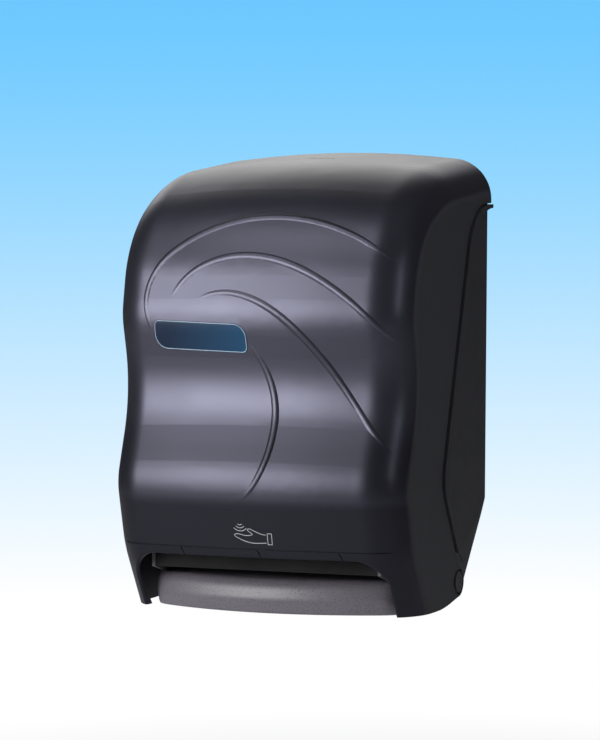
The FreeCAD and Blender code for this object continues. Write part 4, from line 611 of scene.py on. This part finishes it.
class DISPENSER_OT_badge(Builder, bpy.types.Operator):
    """Finish the plain blue badge"""

    bl_idname = "dispenser.badge"
    bl_label = "Badge"

    # Y of the normals on the plate's front, at most, and on its narrow sides, at least
    FRONT, EDGE = -0.7, -0.4

    def execute(self, context):
        look = context.scene.dispenser_badge
        dress("badge", graded("badge blue", look.deep, look.bright))
        self.rim(look)
        return {"FINISHED"}

    def rim(self, look):
        """A thin light line just inside the badge's edge."""
        plate = copy_of("badge")
        border = [e for e in plate.edges if len(e.link_faces) == 2
                  and min(f.normal.y for f in e.link_faces) < self.FRONT
                  and max(f.normal.y for f in e.link_faces) > self.EDGE]
        ends = [v for v in plate.verts if any(e in border for e in v.link_edges)]
        met = walk(border, min(ends, key=lambda v: (v.co.x, v.co.z)))
        line = drawn_in([Vector((v.co.x, v.co.z)) for v in met], look.rim_width * 0.8)
        plate.free()
        shape = bmesh.new()
        ribbon(shape, line, look.rim_width, front_of("badge"), RIM_PROUD)
        face_front(shape)
        finish = moulded("badge rim", look.rim, 0.3, depth=0.000003, wear=0.2)
        new_piece("badge_rim", shape, finish, "cover")


class DISPENSER_OT_mark(Builder, bpy.types.Operator):
    """Print a plain open hand with three waves over it above the front's groove"""

    bl_idname = "dispenser.mark"
    bl_label = "Hand mark"

    # Millimetres from the mark's lower left corner, and for the waves the radius and the turn
    HAND = [(31.0, 9.4), (26.5, 10.2), (21.0, 12.4), (15.8, 14.6), (14.0, 13.2), (18.2, 9.6),
            (12.0, 8.4), (4.4, 9.8), (1.0, 8.8), (2.6, 6.8), (11.0, 3.2), (20.0, 1.6),
            (31.0, 2.2)]
    CUFF = [(32.6, 0.8), (32.6, 10.8), (36.6, 10.8), (36.6, 0.8), (32.6, 0.8)]
    WAVES = (2.6, 5.4, 8.2)
    WAVE_CENTRE = Vector((7.0, 20.6))
    WAVE_TURNS = [math.radians(angle) for angle in range(-138, -41, 8)]

    def execute(self, context):
        look = context.scene.dispenser_mark
        faces = front_of("cover")
        shape = bmesh.new()
        lines = [flowing(self.HAND, 6)]
        lines += [flowing([a, b], 8) for a, b in zip(self.CUFF, self.CUFF[1:])]
        for radius in self.WAVES:
            lines.append([self.WAVE_CENTRE + radius * Vector((math.cos(t), math.sin(t)))
                          for t in self.WAVE_TURNS])
        corner = Vector((look.left, look.low))
        for line in lines:
            ribbon(shape, [corner + point * MM for point in line], look.line, faces, MARK_PROUD)
        ink = moulded("mark ink", look.ink, 0.42, depth=0.000004, wear=0.3)
        face_front(shape)
        new_piece("hand_mark", shape, ink, "cover")
        return {"FINISHED"}


class DISPENSER_OT_housing(Builder, bpy.types.Operator):
    """Finish the rear housing, the hinge pins and the charcoal parts inside"""

    bl_idname = "dispenser.housing"
    bl_label = "Housing"

    def execute(self, context):
        look = context.scene.dispenser_housing
        charcoal = moulded("charcoal moulding", look.charcoal, look.gloss, specular=0.38)
        dress_all([(charcoal, ("rear_housing", "left_hinge_pin", "right_hinge_pin",
                               "latch_keeper", "electronics_cover", "battery_door",
                               "left_roll_arm", "right_roll_arm", "latch_plate"))])
        return {"FINISHED"}


class DISPENSER_OT_tray(Builder, bpy.types.Operator):
    """Finish the speckled tray below the towel exit"""

    bl_idname = "dispenser.tray"
    bl_label = "Tray"

    def execute(self, context):
        look = context.scene.dispenser_tray
        dress("tray", speckled("warm grey", look.grey, look.fleck, look.gloss))
        return {"FINISHED"}


class DISPENSER_OT_inside(Builder, bpy.types.Operator):
    """Finish the feed unit, the electronics and the battery case"""

    bl_idname = "dispenser.inside"
    bl_label = "Inside"

    def execute(self, context):
        grey = moulded("grey moulding", (0.050, 0.051, 0.056), 0.50, specular=0.35)
        black = moulded("black moulding", (0.010, 0.010, 0.011), 0.45)
        dark = moulded("dark inner moulding", (0.0022, 0.0022, 0.0028), 0.60, wear=0.15,
                       worn=(0.016, 0.016, 0.018), specular=0.14)
        rubber = moulded("roller rubber", (0.014, 0.014, 0.014), 0.75, grain=900.0,
                         depth=0.00004, specular=0.3)
        acetal = moulded("acetal", (0.62, 0.61, 0.57), 0.38, depth=0.000006, drift=0.04)
        steel = metal("brushed steel", (0.55, 0.55, 0.56), 0.30)
        polished = metal("polished steel", (0.60, 0.60, 0.62), 0.18)
        brass = metal("brass", (0.62, 0.42, 0.16), 0.28)
        zinc = metal("zinc plate", (0.44, 0.45, 0.47), 0.38)
        board = moulded("solder mask", (0.010, 0.085, 0.035), 0.25, coat=0.4)
        wrap = moulded("cell wrap", (0.03, 0.03, 0.033), 0.30, coat=0.3)
        window = moulded("infrared window", (0.020, 0.003, 0.006), 0.08, coat=0.8)
        lamp = moulded("red lamp", (0.35, 0.02, 0.012), 0.12, coat=0.8)
        green = moulded("green button", (0.03, 0.22, 0.07), 0.28)
        dress_all([
            (grey, ("left_side_plate", "right_side_plate", "pinch_arm", "left_hub",
                    "right_hub", "latch")),
            (dark, ("front_panel",)),
            (black, ("drive_roller", "gear_cover", "pinch_roller", "sensor_box",
                     "battery_case")),
            (rubber, ("roller_sleeves",)),
            (acetal, ("roller_bushings", "drive_gear", "idler_gear", "length_switch",
                      "delay_switch")),
            (steel, ("tie_rods", "frame_screws", "motor_screws", "tear_bar",
                     "tear_bar_screws", "battery_contacts", "board_screws")),
            (polished, ("idler_axle", "motor_shaft", "pinch_rod", "pinch_springs", "arm_pins",
                        "battery_springs", "latch_spring")),
            (brass, ("motor_pinion", "board_posts")),
            (zinc, ("motor",)),
            (board, ("circuit_board",)),
            (wrap, ("d_cells",)),
            (window, ("sensor_lens",)),
            (lamp, ("indicator_lamp",)),
            (green, ("feed_button",)),
        ])
        self.coil(polished)
        return {"FINISHED"}

    def coil(self, finish):
        """The latch spring as a piece of its own with its own mesh, riding on the cover."""
        piece = new_piece("latch_coil", copy_of("latch_spring"), finish, "cover")
        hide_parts("latch_spring")
        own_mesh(piece)


def softbox(name, place, aim, wide, high, power):
    """A rectangular lamp that looks at a point and fades towards its edges."""
    light = bpy.data.lights.new(name, "AREA")
    light.shape = "RECTANGLE"
    light.size, light.size_y = wide, high
    light.energy = power
    light.use_nodes = True
    tree = light.node_tree
    shine = next(n for n in tree.nodes if n.type == "EMISSION")
    spot = node(tree, "ShaderNodeSeparateXYZ",
                {0: node(tree, "ShaderNodeNewGeometry").outputs["Parametric"]})
    fades = []
    for axis in "XY":
        share = spot.outputs[axis]
        fades.append(maths(tree, "MULTIPLY", share, maths(tree, "SUBTRACT", 1.0, share)))
    # the product of both parabolas averages 1 / 36 over the lamp
    fade = maths(tree, "MULTIPLY", maths(tree, "MULTIPLY", fades[0], fades[1]), 36.0)
    tree.links.new(fade, shine.inputs["Strength"])
    lamp = placed(name, light)
    lamp.location = place
    lamp.rotation_euler = (Vector(aim) - Vector(place)).to_track_quat("-Z", "Y").to_euler()
    return lamp


class DISPENSER_OT_stage(Builder, bpy.types.Operator):
    """Set up the pale floor, the lamps, the world and the camera"""

    bl_idname = "dispenser.stage"
    bl_label = "Stage"

    def execute(self, context):
        look = context.scene.dispenser_stage
        self.floor(CAD_BOX[0].z - look.drop, look.place)
        self.world(context.scene)
        self.lamps()
        self.camera(context.scene, look)
        context.scene.view_settings.view_transform = "Standard"
        return {"FINISHED"}

    def floor(self, level, eye):
        """A wide pale disc that keeps the shadow near the part and fades into the sky."""
        shape = bmesh.new()
        bmesh.ops.create_circle(shape, cap_ends=True, segments=96, radius=FLOOR_RADIUS,
                                matrix=Matrix.Translation((0.0, 0.0, level)))
        mesh = bpy.data.meshes.new("floor")
        shape.to_mesh(mesh)
        shape.free()
        ground = placed("floor", mesh)
        material, tree, shader, place = blank_material("pale floor")
        shader.inputs["Base Color"].default_value = rgba(FLOOR_COLOUR)
        shader.inputs["Roughness"].default_value = 0.9
        shader.inputs["Specular IOR Level"].default_value = 0.1
        away = node(tree, "ShaderNodeVectorMath", {0: place}, operation="LENGTH")
        far = remap(tree, away.outputs["Value"], *FLOOR_FADE)
        slope = maths(tree, "DIVIDE", level - eye[2],
                      maths(tree, "ADD", away.outputs["Value"], Vector(eye[:2]).length))
        rays = node(tree, "ShaderNodeLightPath").outputs
        glow = node(tree, "ShaderNodeEmission", {"Color": self.sky(tree, slope), "Strength": 1.0})
        dim = node(tree, "ShaderNodeBsdfDiffuse", {"Color": rgba(FLOOR_MIRRORED)})
        seen = node(tree, "ShaderNodeMixShader",
                    {0: rays["Is Glossy Ray"], 1: shader.outputs[0], 2: dim.outputs[0]})
        blend = node(tree, "ShaderNodeMixShader",
                     {0: maths(tree, "MULTIPLY", far, rays["Is Camera Ray"]),
                      1: seen.outputs[0], 2: glow.outputs[0]})
        end = next(n for n in tree.nodes if n.type == "OUTPUT_MATERIAL")
        tree.links.new(blend.outputs[0], end.inputs["Surface"])
        mesh.materials.append(material)

    def sky(self, tree, slope):
        """White below, pale blue upwards, by the slope of the line of sight."""
        low = remap(tree, slope, *SKY_SLOPES, 1.0, 0.0)
        shares = []
        for left, bend in SKY_FADES:
            rise = maths(tree, "MULTIPLY", maths(tree, "POWER", low, bend), 1.0 - left)
            shares.append(maths(tree, "ADD", rise, left))
        made = node(tree, "ShaderNodeCombineColor",
                    {"Red": shares[0], "Green": shares[1], "Blue": 1.0})
        return made.outputs[0]

    def world(self, scene):
        """The sky that the camera sees, and a dim plain light from all round."""
        world = bpy.data.worlds.new("studio")
        world.use_nodes = True
        tree = world.node_tree
        rays = node(tree, "ShaderNodeLightPath").outputs
        gaze = node(tree, "ShaderNodeSeparateXYZ",
                    {0: node(tree, "ShaderNodeTexCoord").outputs["Generated"]})
        ambient, mirrored = (
            node(tree, "ShaderNodeBackground", {"Color": rgba(colour), "Strength": strength})
            for colour, strength in (AMBIENT, MIRRORED))
        backdrop = node(tree, "ShaderNodeBackground",
                        {"Color": self.sky(tree, gaze.outputs["Z"]), "Strength": 1.0})
        around = node(tree, "ShaderNodeMixShader",
                      {0: rays["Is Glossy Ray"], 1: ambient.outputs[0], 2: mirrored.outputs[0]})
        blend = node(tree, "ShaderNodeMixShader",
                     {0: rays["Is Camera Ray"], 1: around.outputs[0], 2: backdrop.outputs[0]})
        end = next(n for n in tree.nodes if n.type == "OUTPUT_WORLD")
        tree.links.new(blend.outputs[0], end.inputs["Surface"])
        scene.world = world

    def lamps(self):
        """The soft lamps round the part."""
        lamps = {row[0]: softbox(*row) for row in LAMPS}
        # it lifts the matte side only, and leaves no highlight on the satin corner
        lamps["side"].visible_glossy = False

    def camera(self, scene, look):
        """The camera at the photograph's viewing angle."""
        lens = bpy.data.cameras.new("camera")
        lens.lens = look.lens
        lens.sensor_width = 36.0
        lens.clip_start, lens.clip_end = 0.1, 100.0
        camera = placed("camera", lens)
        camera.location = look.place
        turn = (Matrix.Rotation(look.yaw, 4, "Z")
                @ Matrix.Rotation(math.pi / 2 - look.pitch, 4, "X")
                @ Matrix.Rotation(look.roll, 4, "Z"))
        camera.rotation_euler = turn.to_euler()
        scene.camera = camera


class DISPENSER_PT_panel(bpy.types.Panel):
    """The pieces in the sidebar"""

    bl_idname = "DISPENSER_PT_panel"
    bl_label = "Towel dispenser"
    bl_space_type = "VIEW_3D"
    bl_region_type = "UI"
    bl_category = "Dispenser"

    def draw(self, context):
        for operator in OPERATORS:
            self.layout.operator(operator.bl_idname)
        for name in SETTINGS:
            settings = getattr(context.scene, name)
            for key in settings.__annotations__:
                self.layout.prop(settings, key)


OPERATORS = (DISPENSER_OT_cover, DISPENSER_OT_badge, DISPENSER_OT_mark, DISPENSER_OT_housing,
             DISPENSER_OT_tray, DISPENSER_OT_inside, DISPENSER_OT_stage)
SETTINGS = {"dispenser_cover": CoverSettings, "dispenser_badge": BadgeSettings,
            "dispenser_mark": MarkSettings, "dispenser_housing": HousingSettings,
            "dispenser_tray": TraySettings, "dispenser_stage": StageSettings}


def register():
    for name, settings in SETTINGS.items():
        bpy.utils.register_class(settings)
        setattr(bpy.types.Scene, name, PointerProperty(type=settings))
    for operator in (*OPERATORS, DISPENSER_PT_panel):
        bpy.utils.register_class(operator)


def unregister():
    for operator in (DISPENSER_PT_panel, *reversed(OPERATORS)):
        bpy.utils.unregister_class(operator)
    for name, settings in reversed(SETTINGS.items()):
        delattr(bpy.types.Scene, name)
        bpy.utils.unregister_class(settings)


def main():
    """Runs the operators in order."""
    register()
    bpy.ops.dispenser.cover()
    bpy.ops.dispenser.badge()
    bpy.ops.dispenser.mark()
    bpy.ops.dispenser.housing()
    bpy.ops.dispenser.tray()
    bpy.ops.dispenser.inside()
    bpy.ops.dispenser.stage()


if __name__ == "__main__":
    main()
